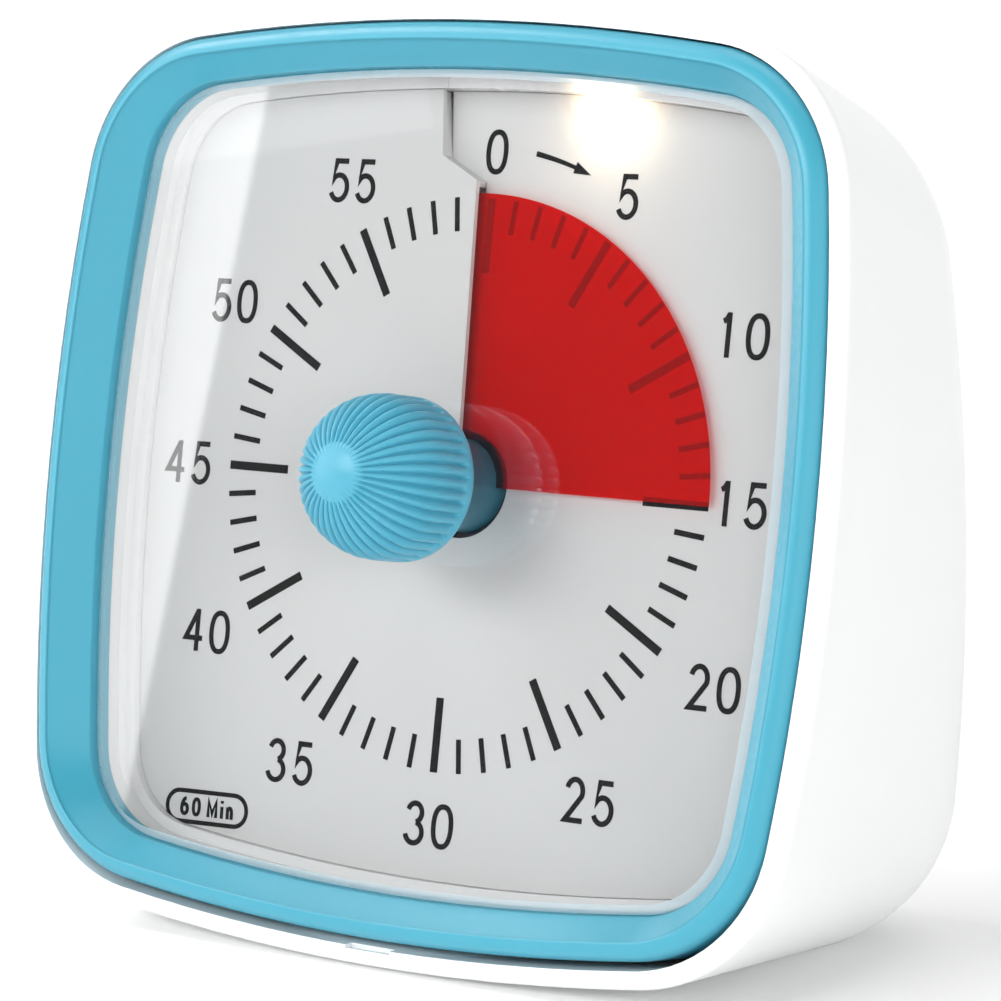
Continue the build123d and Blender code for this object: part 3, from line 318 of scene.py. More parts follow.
# plain cell, along X: bare foot, dark wrapper, light collar and bare cap
cellShape = {"from": -0.025, "to": 0.0255}
cellStops = (
    (0, (0.5, 0.5, 0.52)), (0.02, (0.02, 0.03, 0.035)), (0.72, (0.55, 0.56, 0.58)), (0.975, (0.6, 0.6, 0.62)),
)


def cellSleeve():
    material, tree, shader = startFinish("cellSleeve")
    coords = tree.nodes.new("ShaderNodeTexCoord")
    split = tree.nodes.new("ShaderNodeSeparateXYZ")
    reach = tree.nodes.new("ShaderNodeMapRange")
    reach.inputs["From Min"].default_value = cellShape["from"]
    reach.inputs["From Max"].default_value = cellShape["to"]
    bands = tree.nodes.new("ShaderNodeValToRGB")
    bands.color_ramp.interpolation = "CONSTANT"
    fillRamp(bands, cellStops)
    texture = tree.nodes.new("ShaderNodeGroup")
    texture.node_tree = grain
    tree.links.new(coords.outputs["Object"], split.inputs["Vector"])
    tree.links.new(split.outputs["X"], reach.inputs["Value"])
    tree.links.new(reach.outputs["Result"], bands.inputs["Fac"])
    tree.links.new(bands.outputs["Color"], shader.inputs["Base Color"])
    varyRoughness(tree, shader, texture.outputs["Grain"], 0.3, 0.05)
    shader.inputs["Metallic"].default_value = 0.4
    return material


# tinted film: the print below it shows through, and a painted shadow darkens it next to the hub
filmLook = {
    "ink": (0.84, 0.0, 0.001), "through": (0.94, 0.008, 0.012), "body": 0.22, "sleeve": (0.01, 0.016, 0.02),
    "reach": 0.01, "sleeveEdge": (0.47, 0.53),
}


def filmRed():
    material, tree, shader = startFinish("discRed")
    texture = tree.nodes.new("ShaderNodeGroup")
    texture.node_tree = grain
    texture.inputs["Drift"].default_value = 0.06
    tint = tree.nodes.new("ShaderNodeMix")
    tint.data_type = "RGBA"
    tint.blend_type = "MULTIPLY"
    tint.inputs["Factor"].default_value = 1
    # painted shadow: the film's colour turns dark within the reach of the hub
    sleeve = tree.nodes.new("ShaderNodeGroup")
    sleeve.node_tree = hubShade
    sleeve.inputs["Reach"].default_value = filmLook["reach"]
    sleeve.inputs["Flatten"].default_value = 1.0
    inks = tree.nodes.new("ShaderNodeValToRGB")
    fillRamp(inks, tuple(zip(filmLook["sleeveEdge"], (filmLook["ink"], filmLook["sleeve"]))))
    tree.links.new(sleeve.outputs["Glow"], inks.inputs["Fac"])
    tree.links.new(inks.outputs["Color"], tint.inputs["A"])
    tree.links.new(texture.outputs["Shade"], tint.inputs["B"])
    tree.links.new(tint.outputs["Result"], shader.inputs["Base Color"])
    varyRoughness(tree, shader, texture.outputs["Grain"], 0.5, 0.05)
    shader.inputs["Specular IOR Level"].default_value = 0.02
    clear = tree.nodes.new("ShaderNodeBsdfTransparent")
    clear.inputs["Color"].default_value = (*filmLook["through"], 1)
    mix = tree.nodes.new("ShaderNodeMixShader")
    mix.inputs["Fac"].default_value = filmLook["body"]
    tree.links.new(clear.outputs[0], mix.inputs[1])
    tree.links.new(shader.outputs[0], mix.inputs[2])
    tree.links.new(mix.outputs[0], tree.nodes["Material Output"].inputs["Surface"])
    return material


def clearPane(name, tone, haze, hazeColor, index=1.7):
    # clear moulding: see-through, with a glossy skin and a little haze
    material, tree, shader = startFinish(name)
    tree.nodes.remove(shader)
    glossy = tree.nodes.new("ShaderNodeBsdfGlossy")
    glossy.inputs["Roughness"].default_value = 0.02
    clear = tree.nodes.new("ShaderNodeBsdfTransparent")
    clear.inputs["Color"].default_value = (*tone, 1)
    dull = tree.nodes.new("ShaderNodeBsdfDiffuse")
    dull.inputs["Color"].default_value = (*hazeColor, 1)
    body = tree.nodes.new("ShaderNodeMixShader")
    body.inputs["Fac"].default_value = haze
    fresnel = tree.nodes.new("ShaderNodeFresnel")
    sides = tree.nodes.new("ShaderNodeNewGeometry")
    turned = tree.nodes.new("ShaderNodeMapRange")
    turned.inputs["To Min"].default_value = index
    turned.inputs["To Max"].default_value = 1 / index
    tree.links.new(sides.outputs["Backfacing"], turned.inputs["Value"])
    tree.links.new(turned.outputs["Result"], fresnel.inputs["IOR"])
    skin = tree.nodes.new("ShaderNodeMixShader")
    tree.links.new(clear.outputs[0], body.inputs[1])
    tree.links.new(dull.outputs[0], body.inputs[2])
    tree.links.new(fresnel.outputs[0], skin.inputs["Fac"])
    tree.links.new(body.outputs[0], skin.inputs[1])
    tree.links.new(glossy.outputs[0], skin.inputs[2])
    tree.links.new(skin.outputs[0], tree.nodes["Material Output"].inputs["Surface"])
    return material


def lampWarm():
    material, tree, shader = startFinish("lampWarm")
    texture = tree.nodes.new("ShaderNodeGroup")
    texture.node_tree = grain
    ramp = tree.nodes.new("ShaderNodeMix")
    ramp.data_type = "RGBA"
    ramp.inputs["A"].default_value = (1, 0.86, 0.6, 1)
    ramp.inputs["B"].default_value = (1, 0.95, 0.8, 1)
    tree.links.new(texture.outputs["Grain"], ramp.inputs["Factor"])
    tree.links.new(ramp.outputs["Result"], shader.inputs["Base Color"])
    tree.links.new(ramp.outputs["Result"], shader.inputs["Emission Color"])
    shader.inputs["Emission Strength"].default_value = 12
    return material


# how far the lamp's painted glow goes in metres, how flat it lies and how strong it is: emission painted into
# the dial and tray where the lamp's light falls, and into the light guide that carries it
glowReach = {"dial": (0.0122, 1.25, 0.9), "tray": (0.007, 1.0, 1.4)}
finishes = {
    "bodyWhite": moulded("bodyWhite", (0.86, 0.87, 0.87), 0.36, grainScale=1400, bump=0.04, drift=0.02),
    "ringBlue": moulded("ringBlue", srgb(68, 160, 183), 0.36, grainScale=1400, bump=0.05, specular=0.5),
    "knobBlue": moulded("knobBlue", srgb(79, 166, 191), 0.34, grainScale=1400, bump=0.05, specular=0.45),
    # the hub is the knob's blue with painted shade: darker for the shadow the knob casts on it
    "hubPaintedShade": moulded("hubPaintedShade", srgb(50, 106, 126), 0.34, grainScale=1400, bump=0.04, drift=0.2,
                       driftScale=300),
    "dialWhite": moulded("dialWhite", (0.63, 0.63, 0.63), 0.5, grainScale=1800, bump=0.02, drift=0.02,
                         specular=0.2, glow=glowReach["dial"]),
    "trayWhite": moulded("trayWhite", (0.74, 0.74, 0.74), 0.42, bump=0.005, drift=0.015,
                         glow=glowReach["tray"]),
    "guideFrost": moulded("guideFrost", (0.86, 0.86, 0.87), 0.25, bump=0.02, subsurface=0.3,
                          glow=glowReach["tray"]),
    "printBlack": moulded("printBlack", (0.006, 0.006, 0.007), 0.6, bump=0.02, drift=0.3, specular=0.1),
    "darkPlastic": moulded("darkPlastic", (0.02, 0.02, 0.022), 0.45, drift=0.25),
    "gearPlastic": moulded("gearPlastic", (0.78, 0.74, 0.62), 0.4, drift=0.1),
    "brass": metal("brass", (0.72, 0.52, 0.22), 0.28),
    "steel": metal("steel", (0.62, 0.63, 0.64), 0.3),
    "copper": metal("copper", (0.55, 0.22, 0.1), 0.35, scale=2500, stretch=0.05),
    "boardGreen": circuitGreen(),
    "cellSleeve": cellSleeve(),
    "discRed": filmRed(),
    "lensClear": clearPane("lensClear", (0.99, 0.992, 0.992), 0.004, (0.9, 0.9, 0.9)),
    "lensEdge": clearPane("lensEdge", (0.95, 0.96, 0.97), 0.55, (0.86, 0.87, 0.88)),
    "lensBore": clearPane("lensBore", (0.99, 0.992, 0.992), 0.004, (0.9, 0.9, 0.9), index=1.02),
    "lampWarm": lampWarm(),
}

nodeFinish = {
    "housing": "bodyWhite", "battery_door": "bodyWhite", "trim_ring": "ringBlue", "disc_hub": "hubPaintedShade",
    "knob": "knobBlue", "window_lens": "lensClear", "light_guide": "guideFrost", "dial_tray": "trayWhite",
    "dial_plate": "dialWhite", "time_disc": "discRed", "led": "lampWarm", "led_board": "boardGreen",
    "main_board": "boardGreen", "control_chip": "darkPlastic", "switch_body": "darkPlastic",
    "switch_slider": "darkPlastic", "buzzer": "darkPlastic", "movement_front": "darkPlastic",
    "movement_back": "darkPlastic", "movement_screws": "steel", "board_screws": "steel",
    "case_screws": "steel", "centre_shaft": "brass", "centre_wheel": "brass", "third_wheel": "gearPlastic",
    "second_wheel": "gearPlastic", "rotor": "gearPlastic", "stator": "steel", "motor_coil": "copper",
    "clutch_spring": "steel", "shaft_clip": "steel", "battery": "cellSleeve", "battery_plate": "steel",
    "battery_spring": "steel",
}
for name, finishName in nodeFinish.items():
    mesh = nodes[name].data
    mesh.materials.clear()
    mesh.materials.append(finishes[finishName])

# the lens shows its bevelled rim as a hazy band, and the wall of its hole hardly at all
lensTilt = {"wall": 0.1, "flat": 0.98}
lensMesh = nodes["window_lens"].data
lensMesh.materials.append(finishes["lensEdge"])
lensMesh.materials.append(finishes["lensBore"])
for polygon in lensMesh.polygons:
    tilt = polygon.normal.dot(outOfFace)
    if lensTilt["wall"] < tilt < lensTilt["flat"]:
        polygon.material_index = 1
    elif abs(tilt) < lensTilt["wall"]:
        polygon.material_index = 2
    else:
        polygon.material_index = 0
print("timer: finishes on the frame's nodes")


# trim ring: one closed profile carried round the window
ringShape = {
    "outer": (41.45, 40.8, 13.75, 215.85), "ridge": (39.8, 39.2, 12.2, 216.0),
    "window": (36.9, 37.05, 9.0, 211.0), "back": 4.2, "top": 9.9, "mouth": 6.8, "seat": 5.25,
    "ledgeBack": 4.6, "ledge": 0.4, "round": (1.8, 1.7), "roundSteps": 10, "lip": 0.1, "lipSteps": 4,
    "skirt": 1.8, "sideSteps": 14, "cornerSteps": 20, "soften": 0.1, "slopeRun": 2.9,
    "slopeShares": (0.02, 0.05, 0.09, 0.3, 0.6), "hold": 0.02,
}


def roundedLoop(halfX, halfY, corner, bulge, grow=0.0):
    halfX, halfY, corner, bulge = (v + grow for v in (halfX, halfY, corner, bulge))
    sideMiddle = Vector((halfX - bulge, 0))
    topMiddle = Vector((0, halfY - bulge))
    across = topMiddle - sideMiddle
    rise = sqrt((bulge - corner) ** 2 - across.length_squared / 4)
    outward = Vector((across.y, -across.x)).normalized()
    if outward.x < 0:
        outward = -outward
    cornerMiddle = (sideMiddle + topMiddle) / 2 + outward * rise
    sideTurn = atan2((cornerMiddle - sideMiddle).y, (cornerMiddle - sideMiddle).x)
    topTurn = atan2((cornerMiddle - topMiddle).y, (cornerMiddle - topMiddle).x)
    quarter = []
    steps = ringShape["sideSteps"]
    for step in range(steps):
        turn = sideTurn * step / steps
        quarter.append(sideMiddle + Vector((cos(turn), sin(turn))) * bulge)
    for step in range(ringShape["cornerSteps"]):
        turn = sideTurn + (topTurn - sideTurn) * step / ringShape["cornerSteps"]
        quarter.append(cornerMiddle + Vector((cos(turn), sin(turn))) * corner)
    for step in range(steps):
        turn = topTurn + (pi / 2 - topTurn) * step / steps
        quarter.append(topMiddle + Vector((cos(turn), sin(turn))) * bulge)
    mirrored = [Vector((-p.x, p.y)) for p in reversed(quarter[1:])]
    upper = quarter + [Vector((0, halfY))] + mirrored
    lower = [Vector((-p.x, -p.y)) for p in upper]
    return upper + lower


def blendLoops(first, second, share):
    return [a.lerp(b, share) for a, b in zip(first, second)]


def sweepLoops(stations):
    bm = bmesh.new()
    slot = bm.verts.layers.int.new("slot")
    start = bmesh.ops.create_circle(bm, segments=len(stations[0][0]), radius=1)
    for index, vert in enumerate(start["verts"]):
        vert[slot] = index
    edges = bm.edges[:]
    moving = start["verts"]
    for number, (loop, height) in enumerate(stations):
        if number:
            made = bmesh.ops.extrude_edge_only(bm, edges=edges)["geom"]
            moving = [g for g in made if isinstance(g, bmesh.types.BMVert)]
            fresh = set(moving)
            edges = [g for g in made if isinstance(g, bmesh.types.BMEdge) and fresh.issuperset(g.verts)]
        for vert in moving:
            vert.co = (*loop[vert[slot]], height)
    bmesh.ops.remove_doubles(bm, verts=bm.verts, dist=mergeGap)
    bmesh.ops.recalc_face_normals(bm, faces=bm.faces)
    return bm


outerLoop = roundedLoop(*ringShape["outer"])
ridgeLoop = roundedLoop(*ringShape["ridge"])
windowLoop = roundedLoop(*ringShape["window"])
ledgeLoop = roundedLoop(*ringShape["window"], grow=-ringShape["ledge"])
skirtLoop = roundedLoop(*ringShape["window"], grow=ringShape["skirt"])
ringTop, ringMouth, ringBack, ringSeat = (ringShape[key] for key in ("top", "mouth", "back", "seat"))
roundWide, roundHigh = ringShape["round"]
hold = ringShape["hold"]  # a second loop this near keeps an edge crisp
stations = [(outerLoop, ringBack), (outerLoop, ringBack + hold), (outerLoop, ringTop - roundHigh - hold)]
for step in range(ringShape["roundSteps"] + 1):
    turn = pi / 2 * step / ringShape["roundSteps"]
    shrunk = roundedLoop(*ringShape["outer"], grow=-roundWide * (1 - cos(turn)))
    stations.append((shrunk, ringTop - roundHigh * (1 - sin(turn))))
drop = ringTop - ringMouth
softTo = ringShape["slopeShares"][2]
for share in ringShape["slopeShares"]:
    soften = ringShape["soften"] * max(0, 1 - share / softTo) ** 2
    stations.append((blendLoops(ridgeLoop, windowLoop, share), ringTop - drop * share - soften))
lip = ringShape["lip"]
for step in range(ringShape["lipSteps"] + 1):
    turn = pi / 2 * step / ringShape["lipSteps"]
    share = 1 - lip / ringShape["slopeRun"] * (1 - sin(turn))
    height = ringMouth + drop * (1 - share) - lip * (1 - cos(turn))
    stations.append((blendLoops(ridgeLoop, windowLoop, share), height))
for height in (ringMouth - lip - hold, ringSeat + hold, ringSeat):
    stations.append((windowLoop, height))
for height in (ringSeat, ringSeat - hold, ringShape["ledgeBack"] + hold, ringShape["ledgeBack"]):
    stations.append((ledgeLoop, height))
stations += [(skirtLoop, ringShape["ledgeBack"]), (skirtLoop, ringBack), (outerLoop, ringBack)]
bm = sweepLoops(stations)
trimRing = placeMesh("trim_ring_rounded", bm, "case", finishes["ringBlue"])
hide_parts("trim_ring")
print("timer: trim ring done with", len(stations), "stations")

# knob: a turned profile whose dome carries rounded ribs
knobShape = {
    "radius": 7.36, "dome": 12.9, "back": 9.2, "spot": 2.6, "ribs": 40, "ribSteps": 12, "ribDepth": 0.62,
    "ribStart": 10.15, "lipRound": 0.3, "neck": 3.59, "neckBack": 0.4, "bore": 1.53, "boreTop": 16.1,
    "ribFade": (0.2, 0.25), "ribArch": 0.6, "spotSteps": 4, "domeSteps": 36, "skirtSteps": 11, "lipSteps": 4,
    "neckFlare": 1.5, "hold": 0.1, "skirtPast": 0.2, "plainLip": 0.35, "spotGap": 0.01, "shellDeep": 0.05,
    "leastRib": 0.15,
}


def knobProfile():
    shape = knobShape
    radius, dome = shape["radius"], shape["dome"]
    points = [(0.0, dome + radius)]
    spotAngle = shape["spot"] / radius
    for step in range(1, shape["spotSteps"] + 1):
        turn = spotAngle * step / shape["spotSteps"]
        points.append((radius * sin(turn), dome + radius * cos(turn)))
    for step in range(1, shape["domeSteps"] + 1):
        turn = spotAngle + (pi / 2 - spotAngle) * step / shape["domeSteps"]
        points.append((radius * sin(turn), dome + radius * cos(turn)))
    fall = dome - shape["ribStart"] + shape["skirtPast"]
    for step in range(1, shape["skirtSteps"] + 1):
        points.append((radius, dome - fall * step / shape["skirtSteps"]))
    small, back, neck, neckBack = (shape[key] for key in ("lipRound", "back", "neck", "neckBack"))
    for step in range(shape["lipSteps"] + 1):
        turn = pi / 2 * step / shape["lipSteps"]
        points.append((radius - small * (1 - cos(turn)), back + small * (1 - sin(turn))))
    points += [
        (neck + shape["neckFlare"], back), (neck, back), (neck, back - shape["hold"]),
        (neck, neckBack + shape["hold"]), (neck, neckBack), (shape["bore"], neckBack),
        (shape["bore"], shape["boreTop"]), (0.0, shape["boreTop"]),
    ]
    return points


bm = bmesh.new()
chain = [bm.verts.new((reach, 0, height)) for reach, height in knobProfile()]
links = [bm.edges.new(pair) for pair in zip(chain, chain[1:])]
bmesh.ops.spin(
    bm, geom=chain + links, cent=(0, 0, 0), axis=(0, 0, 1), angle=2 * pi,
    steps=knobShape["ribs"] * knobShape["ribSteps"], use_merge=True,
)
bmesh.ops.remove_doubles(bm, verts=bm.verts, dist=mergeGap)
bmesh.ops.recalc_face_normals(bm, faces=bm.faces)
spotFade, skirtFade = knobShape["ribFade"]
for vert in bm.verts:
    # the round end, the lip, the neck and the bore stay plain
    reach = sqrt(vert.co.x**2 + vert.co.y**2)
    if reach < knobShape["spot"] + knobShape["spotGap"]:
        continue
    if vert.co.z < knobShape["back"] + knobShape["plainLip"]:
        continue
    fromMiddle = Vector((reach, vert.co.z - knobShape["dome"]))
    if fromMiddle.length < knobShape["radius"] - knobShape["shellDeep"]:
        continue
    past = max(reach - knobShape["spot"], 0) if fromMiddle.y > 0 else knobShape["radius"]
    ramp = min(past / spotFade, 1) * min(max((vert.co.z - knobShape["ribStart"]) / skirtFade, 0), 1)
    turn = atan2(vert.co.y, vert.co.x) * knobShape["ribs"] / 2
    arch = 1 - abs(cos(turn)) ** knobShape["ribArch"]
    width = min(reach / knobShape["radius"] + knobShape["leastRib"], 1)
    sink = knobShape["ribDepth"] * width * ramp * arch
    if fromMiddle.y > 0:
        inward = -fromMiddle.normalized() * sink
    else:
        inward = Vector((-sink, 0))
    scale = (reach + inward.x) / reach
    vert.co = (vert.co.x * scale, vert.co.y * scale, vert.co.z + inward.y)
knobPiece = placeMesh("knob_ribbed", bm, "knob", finishes["knobBlue"])
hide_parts("knob")
print("timer: knob done")

# dial print
dialPrint = {
    "outer": 26.0, "longInner": 19.25, "shortInner": 22.9, "longWidth": 0.8, "shortWidth": 0.52,
    "lift": 0.002, "proud": 0.03, "numberLook": {"height": 4.1, "width": 2.4, "gap": 0.6, "line": 0.5},
    "numbers": {
        "0": (0.1, 30.24), "5": (14.6, 26.63), "10": (27.79, 14.99), "15": (29.23, 0.43),
        "20": (28.31, -15.58), "25": (16.75, -26.71), "30": (0, -30.76), "35": (-16.06, -26.85),
        "40": (-27.05, -15.74), "45": (-30.98, -0.11), "50": (-27.2, 15.31), "55": (-14.68, 26.98),
    },
    "arrowFrom": (4.42, 30.2), "arrowBend": (7.3, 29.6), "arrowTo": (10.5, 28.4), "arrowHead": (1.9, 0.55),
    "arrowLines": (0.5, 0.36), "arrowSteps": 8, "arrowNeck": 0.8, "leastMitre": 0.45,
    "pillMiddle": (-25.2, -32.2), "pillSize": (9.75, 3.3), "pillLine": 0.42, "pillTilt": 1.5,
    "pillLook": {"height": 1.8, "width": 1.05, "gap": 0.34, "line": 0.36},
}


def arc(middle, radii, start, end, steps=20):
    turns = [radians(start + (end - start) * step / steps) for step in range(steps + 1)]
    return [(middle[0] + radii[0] * cos(turn), middle[1] + radii[1] * sin(turn)) for turn in turns]


def oval(steps=40, power=0.86):
    points = []
    for step in range(steps):
        turn = 2 * pi * step / steps
        x, y = cos(turn), sin(turn)
        points.append((abs(x) ** power * (1 if x > 0 else -1), abs(y) ** power * (1 if y > 0 else -1)))
    return points


# strokes of each sign in a box from -1 to 1, and whether each stroke is closed
signStrokes = {
    "0": [(oval(), True)],
    "1": [([(-0.62, 0.66), (-0.3, 0.74), (-0.05, 0.98)], False), ([(0.0, 1.1), (0.0, -1.1)], False)],
    "2": [(arc((-0.05, 0.42), (0.86, 0.58), 165, -22) + [(-0.92, -1.0), (1.0, -1.0)], False)],
    "3": [
        (arc((-0.08, 0.53), (0.8, 0.47), 165, -78), False),
        (arc((-0.08, -0.47), (0.95, 0.53), 78, -168), False),
    ],
    "4": [([(0.32, 0.98), (-1.0, -0.42), (1.05, -0.42)], False), ([(0.38, 1.1), (0.38, -1.1)], False)],
    "5": [
        ([(0.92, 1.0), (-0.5, 1.0), (-0.78, 0.0)] + arc((-0.05, -0.36), (0.98, 0.64), 132, -156), False),
    ],
    "6": [(arc((0.5, -0.4), (1.5, 1.4), 90, 180), False), (arc((0, -0.38), (1.0, 0.62), 0, 342), True)],
    "M": [([(-1.0, -1.15), (-1.0, 0.95), (0.0, -0.7), (1.0, 0.95), (1.0, -1.15)], False)],
    "i": [([(0.0, -1.15), (0.0, 0.4)], False), ([(0.0, 0.8), (0.0, 1.15)], False)],
    "n": [
        ([(-1.0, -1.15), (-1.0, 0.4)], False), (arc((0.0, -0.3), (1.0, 0.6), 165, 0) + [(1.0, -1.15)], False),
    ],
}
signWidths = {"M": 1.2, "i": 0.3, "n": 0.8, " ": 0.05}


def ribbon(bm, points, widths, closed=False):
    count = len(points)
    sides = []
    for index, point in enumerate(points):
        turns = []
        if index or closed:
            turns.append((point - points[index - 1]).normalized())
        if index < count - 1 or closed:
            turns.append((points[(index + 1) % count] - point).normalized())
        along = sum(turns, Vector((0, 0))).normalized()
        side = Vector((-along.y, along.x))
        stretch = max(side.dot(Vector((-turns[0].y, turns[0].x))), dialPrint["leastMitre"])
        width = widths[0] + (widths[1] - widths[0]) * index / max(count - 1, 1)
        sides.append((point + side * width / 2 / stretch, point - side * width / 2 / stretch))
    if closed:
        sides.append(sides[0])
    left, right = (bm.verts.new((*p, 0)) for p in sides[0])
    rail = bm.edges.new((left, right))
    for nextLeft, nextRight in sides[1:]:
        made = bmesh.ops.extrude_edge_only(bm, edges=[rail])["geom"]
        fresh = [g for g in made if isinstance(g, bmesh.types.BMVert)]
        fresh.sort(key=lambda v: (v.co - left.co).length)
        rail = next(g for g in made if isinstance(g, bmesh.types.BMEdge) and set(g.verts) == set(fresh))
        left, right = fresh
        left.co = (*nextLeft, 0)
        right.co = (*nextRight, 0)


def addWords(bm, words, middle, look, tilt=0):
    widths = [look["width"] * signWidths.get(sign, 1) for sign in words]
    left = -(sum(widths) + look["gap"] * (len(words) - 1)) / 2
    turn = Matrix.Rotation(radians(tilt), 2)
    for sign, width in zip(words, widths):
        halfX, halfY = (width - look["line"]) / 2, (look["height"] - look["line"]) / 2
        for stroke, closed in signStrokes.get(sign, ()):
            points = [
                turn @ Vector((left + width / 2 + x * halfX, y * halfY)) + Vector(middle) for x, y in stroke
            ]
            ribbon(bm, points, (look["line"], look["line"]), closed)
        left += width + look["gap"]


def printPlate(bm, matrix, width, length):
    made = bmesh.ops.create_grid(bm, x_segments=1, y_segments=4, size=0.5)
    bmesh.ops.transform(bm, matrix=matrix @ Matrix.Diagonal((width, length, 1, 1)), verts=made["verts"])


bm = bmesh.new()
for minute in range(60):
    longMark = minute % 5 == 0
    inner = dialPrint["longInner"] if longMark else dialPrint["shortInner"]
    width = dialPrint["longWidth"] if longMark else dialPrint["shortWidth"]
    turn = Matrix.Rotation(-radians(6 * minute), 4, "Z")
    middle = Matrix.Translation((0, (inner + dialPrint["outer"]) / 2, 0))
    printPlate(bm, turn @ middle, width, dialPrint["outer"] - inner)
for words, middle in dialPrint["numbers"].items():
    addWords(bm, words, middle, dialPrint["numberLook"])

# arrow beside minute 0
start, bend, end = (Vector(dialPrint[key]) for key in ("arrowFrom", "arrowBend", "arrowTo"))
headLength, headHalf = dialPrint["arrowHead"]
along = (end - bend).normalized()
neck = end - along * headLength * dialPrint["arrowNeck"]
path = []
for step in range(dialPrint["arrowSteps"] + 1):
    share = step / dialPrint["arrowSteps"]
    path.append(start.lerp(bend, share).lerp(bend.lerp(neck, share), share))
ribbon(bm, path, dialPrint["arrowLines"])
head = bmesh.ops.create_circle(bm, cap_ends=True, segments=3, radius=1)
turn = Matrix.Rotation(atan2(along.y, along.x) - pi / 2, 4, "Z")
headMiddle = end - along * headLength * 2 / 3
headSize = Matrix.Diagonal((headHalf / sin(pi / 3), headLength / 1.5, 1, 1))
bmesh.ops.transform(bm, matrix=Matrix.Translation((*headMiddle, 0)) @ turn @ headSize, verts=head["verts"])

# pill with its words
tilt = Matrix.Rotation(radians(dialPrint["pillTilt"]), 4, "Z")
pillMiddle = Vector(dialPrint["pillMiddle"])
halfLength, halfHeight = (v / 2 - dialPrint["pillLine"] / 2 for v in dialPrint["pillSize"])
path = arc((halfLength - halfHeight, 0), (halfHeight, halfHeight), -90, 90, 14)
path += arc((halfHeight - halfLength, 0), (halfHeight, halfHeight), 90, 270, 14)
path = [(tilt @ Vector((x, y, 0))).to_2d() + pillMiddle for x, y in path]
ribbon(bm, path, (dialPrint["pillLine"], dialPrint["pillLine"]), closed=True)
addWords(bm, "60 Min", dialPrint["pillMiddle"], dialPrint["pillLook"], dialPrint["pillTilt"])

# give every mark a thickness and lay it on the climbing dial
bmesh.ops.recalc_face_normals(bm, faces=bm.faces)
walls = bmesh.ops.extrude_face_region(bm, geom=bm.faces[:])
bmesh.ops.translate(
    bm, vec=(0, 0, dialPrint["proud"]), verts=[g for g in walls["geom"] if isinstance(g, bmesh.types.BMVert)]
)
bmesh.ops.recalc_face_normals(bm, faces=bm.faces)
for vert in bm.verts:
    vert.co.z += dialHeight(vert.co.x, vert.co.y) + dialPrint["lift"]
placeMesh("dial_print", bm, "case", finishes["printBlack"], smooth=False)
print("timer: dial print done")

# camera in front and to the right, a little above the dial
camera = {"place": (209.32, -302.05, -2.49), "lens": 146.44, "sensor": 36.0, "clip": (0.01, 20)}
cameraRows = (
    (0.82358262, 0.55947544, 0.09326783),
    (0.07494494, 0.05565431, -0.99563339),
    (-0.56222319, 0.82697632, 0.00390606),
)


def faceTurn(across, inward, upward):
    return Vector((across, 0, 0)) - outOfFace * inward + upFace * upward


right, down, forward = (faceTurn(*row) for row in cameraRows)
place = dialMiddle + faceTurn(*camera["place"]) / 1000
lens = bpy.data.cameras.new("frontView")
lens.lens = camera["lens"]
lens.sensor_width = camera["sensor"]
lens.clip_start, lens.clip_end = camera["clip"]
viewer = bpy.data.objects.new("frontView", lens)
scene.collection.objects.link(viewer)
viewer.matrix_world = Matrix.Translation(place) @ axesMatrix(right, -down, -forward)
scene.camera = viewer

# floor and backdrop
stage = {
    "width": 8.0, "front": -3.0, "back": 3.0, "height": 3.5, "curve": 1.2, "curveSteps": 16, "below": 0.0001,
    "tone": 0.97, "shine": 0.05,
}


def backEdges(bm, top):
    return [e for e in bm.edges if all(abs(v.co.y - stage["back"]) < 1e-6 and v.co.z < top for v in e.verts)]


bm = bmesh.new()
bmesh.ops.create_grid(bm, x_segments=1, y_segments=1, size=0.5)
bmesh.ops.scale(bm, vec=(stage["width"], stage["back"] - stage["front"], 1), verts=bm.verts)
bmesh.ops.translate(bm, vec=(0, (stage["back"] + stage["front"]) / 2, -stage["below"]), verts=bm.verts)
wall = bmesh.ops.extrude_edge_only(bm, edges=backEdges(bm, stage["height"]))
raised = [g for g in wall["geom"] if isinstance(g, bmesh.types.BMVert)]
bmesh.ops.translate(bm, vec=(0, 0, stage["height"]), verts=raised)
fold = backEdges(bm, stage["curve"])
bmesh.ops.bevel(
    bm, geom=fold, offset=stage["curve"], segments=stage["curveSteps"], profile=0.5, affect="EDGES",
    material=-1,
)
mesh = bpy.data.meshes.new("floor")
bm.to_mesh(mesh)
bm.free()
floor = bpy.data.objects.new("floor", mesh)
scene.collection.objects.link(floor)
for polygon in mesh.polygons:
    polygon.use_smooth = True
paper = moulded("floorPaper", (stage["tone"],) * 3, 0.8, bump=0.0, drift=0.004, driftScale=3, specular=0.1,
                shine=stage["shine"])
mesh.materials.append(paper)

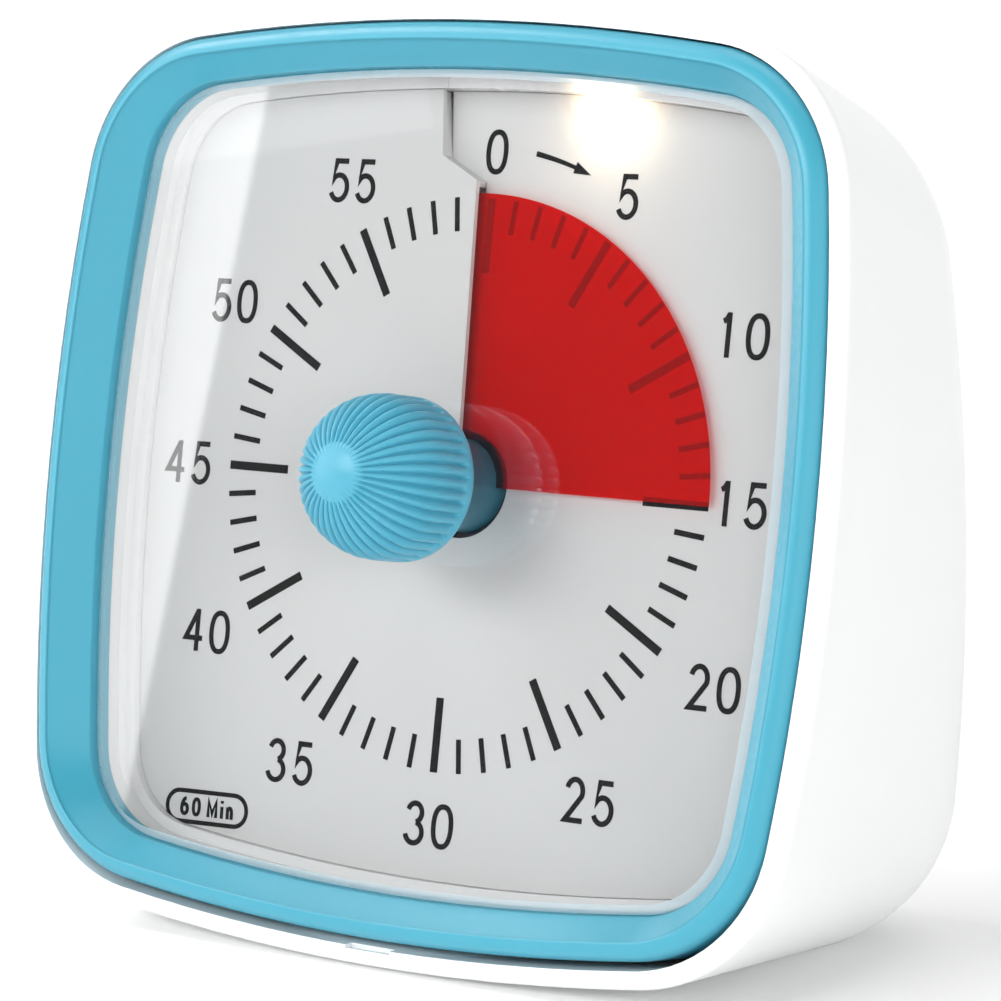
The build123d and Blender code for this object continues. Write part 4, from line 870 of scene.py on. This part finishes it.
# lights: degrees to the left of straight ahead, distance and height in metres, roll in degrees;
# tip turns a box down to the dial, and gleam says whether glossy surfaces mirror it
lights = {
    "keySoftbox": {"turn": 56.0, "far": 4.0, "height": 1.15, "size": (2.415, 2.2), "power": 48.0},
    "bandSoftbox": {"turn": 45.25, "far": 4.0, "height": 1.2, "size": (1.0, 0.8), "power": 1.2, "roll": 21.4},
    "leftSoftbox": {"turn": 64.0, "far": 1.1, "height": 0.85, "size": (0.6, 0.5), "power": 1.0, "tip": True},
    "slopeSoftbox": {"turn": 76.0, "far": 1.0, "height": 1.1, "size": (0.6, 0.6), "power": 8.8, "tip": True},
    "frontSoftbox": {"turn": 14.0, "far": 1.3, "height": 0.6, "size": (0.8, 0.4), "power": 9.4, "tip": True},
    "cameraSoftbox": {"turn": -48.0, "far": 1.5, "height": 0.3, "size": (1.0, 0.5), "power": 11.6,
                      "tip": True, "gleam": False},
    "sideSoftbox": {"turn": -88.0, "far": 1.5, "height": 0.4, "size": (1.2, 0.7), "power": 3.8, "tip": True},
    "topSoftbox": {"turn": 180.0, "far": 0.3, "height": 1.4, "size": (1.2, 1.2), "power": 8.6, "tip": True},
    "backSoftbox": {"turn": 140.0, "far": 1.2, "height": 1.5, "size": (2.4, 1.2), "power": 52.0,
                    "aim": (-1.9, 2.6, 0.0)},
}
for name, light in lights.items():
    data = bpy.data.lights.new(name, "AREA")
    data.shape = "RECTANGLE"
    data.size, data.size_y = light["size"]
    data.energy = light["power"]
    softbox = bpy.data.objects.new(name, data)
    scene.collection.objects.link(softbox)
    softbox.visible_glossy = light.get("gleam", True)
    turn = radians(light["turn"])
    spot = dialMiddle + Vector((-sin(turn) * light["far"], -cos(turn) * light["far"], 0))
    spot.z = light["height"]
    aim = Vector(light["aim"]) - spot if "aim" in light else dialMiddle - spot
    if not ("tip" in light or "aim" in light):
        aim.z = 0
    facing = aim.to_track_quat("-Z", "Y").to_matrix().to_4x4()
    roll = Matrix.Rotation(radians(light.get("roll", 0)), 4, "Z")
    softbox.matrix_world = Matrix.Translation(spot) @ facing @ roll

# room: dim for what it lights, dimmer in reflections, white behind the floor
roomLight = {"fill": 0.04, "Is Glossy Ray": 0.05, "Is Camera Ray": 1.0}
world = bpy.data.worlds.new("studio")
scene.world = world
world.use_nodes = True
sky = world.node_tree
rays = sky.nodes.new("ShaderNodeLightPath")
room = sky.nodes["Background"]
surface = room.outputs["Background"]
room.inputs["Color"].default_value = (1, 1, 1, 1)
room.inputs["Strength"].default_value = roomLight["fill"]
for seenBy in ("Is Glossy Ray", "Is Camera Ray"):
    shade = sky.nodes.new("ShaderNodeBackground")
    shade.inputs["Color"].default_value = (1, 1, 1, 1)
    shade.inputs["Strength"].default_value = roomLight[seenBy]
    mix = sky.nodes.new("ShaderNodeMixShader")
    sky.links.new(rays.outputs[seenBy], mix.inputs["Fac"])
    sky.links.new(surface, mix.inputs[1])
    sky.links.new(shade.outputs["Background"], mix.inputs[2])
    surface = mix.outputs["Shader"]
sky.links.new(surface, sky.nodes["World Output"].inputs["Surface"])
scene.view_settings.view_transform = "Standard"

# soft light of the lamp over the dial
lampLight = {
    "place": (12.6, 33.6, 3.6), "aim": (12.6, 30.0, 0.0), "size": (5.0, 3.0), "power": 0.00045,
    "color": (1.0, 0.8, 0.55),
}
data = bpy.data.lights.new("dialLamp", "AREA")
data.shape = "ELLIPSE"
data.size, data.size_y = (v / 1000 for v in lampLight["size"])
data.energy = lampLight["power"]
data.color = lampLight["color"]
lamp = bpy.data.objects.new("dialLamp", data)
scene.collection.objects.link(lamp)
lampPlace = faceMatrix @ Vector(lampLight["place"])
lampAim = faceMatrix @ Vector(lampLight["aim"])
lamp.location = lampPlace
lamp.rotation_euler = (lampAim - lampPlace).to_track_quat("-Z", "Y").to_euler()
print("timer: stage and lights done")
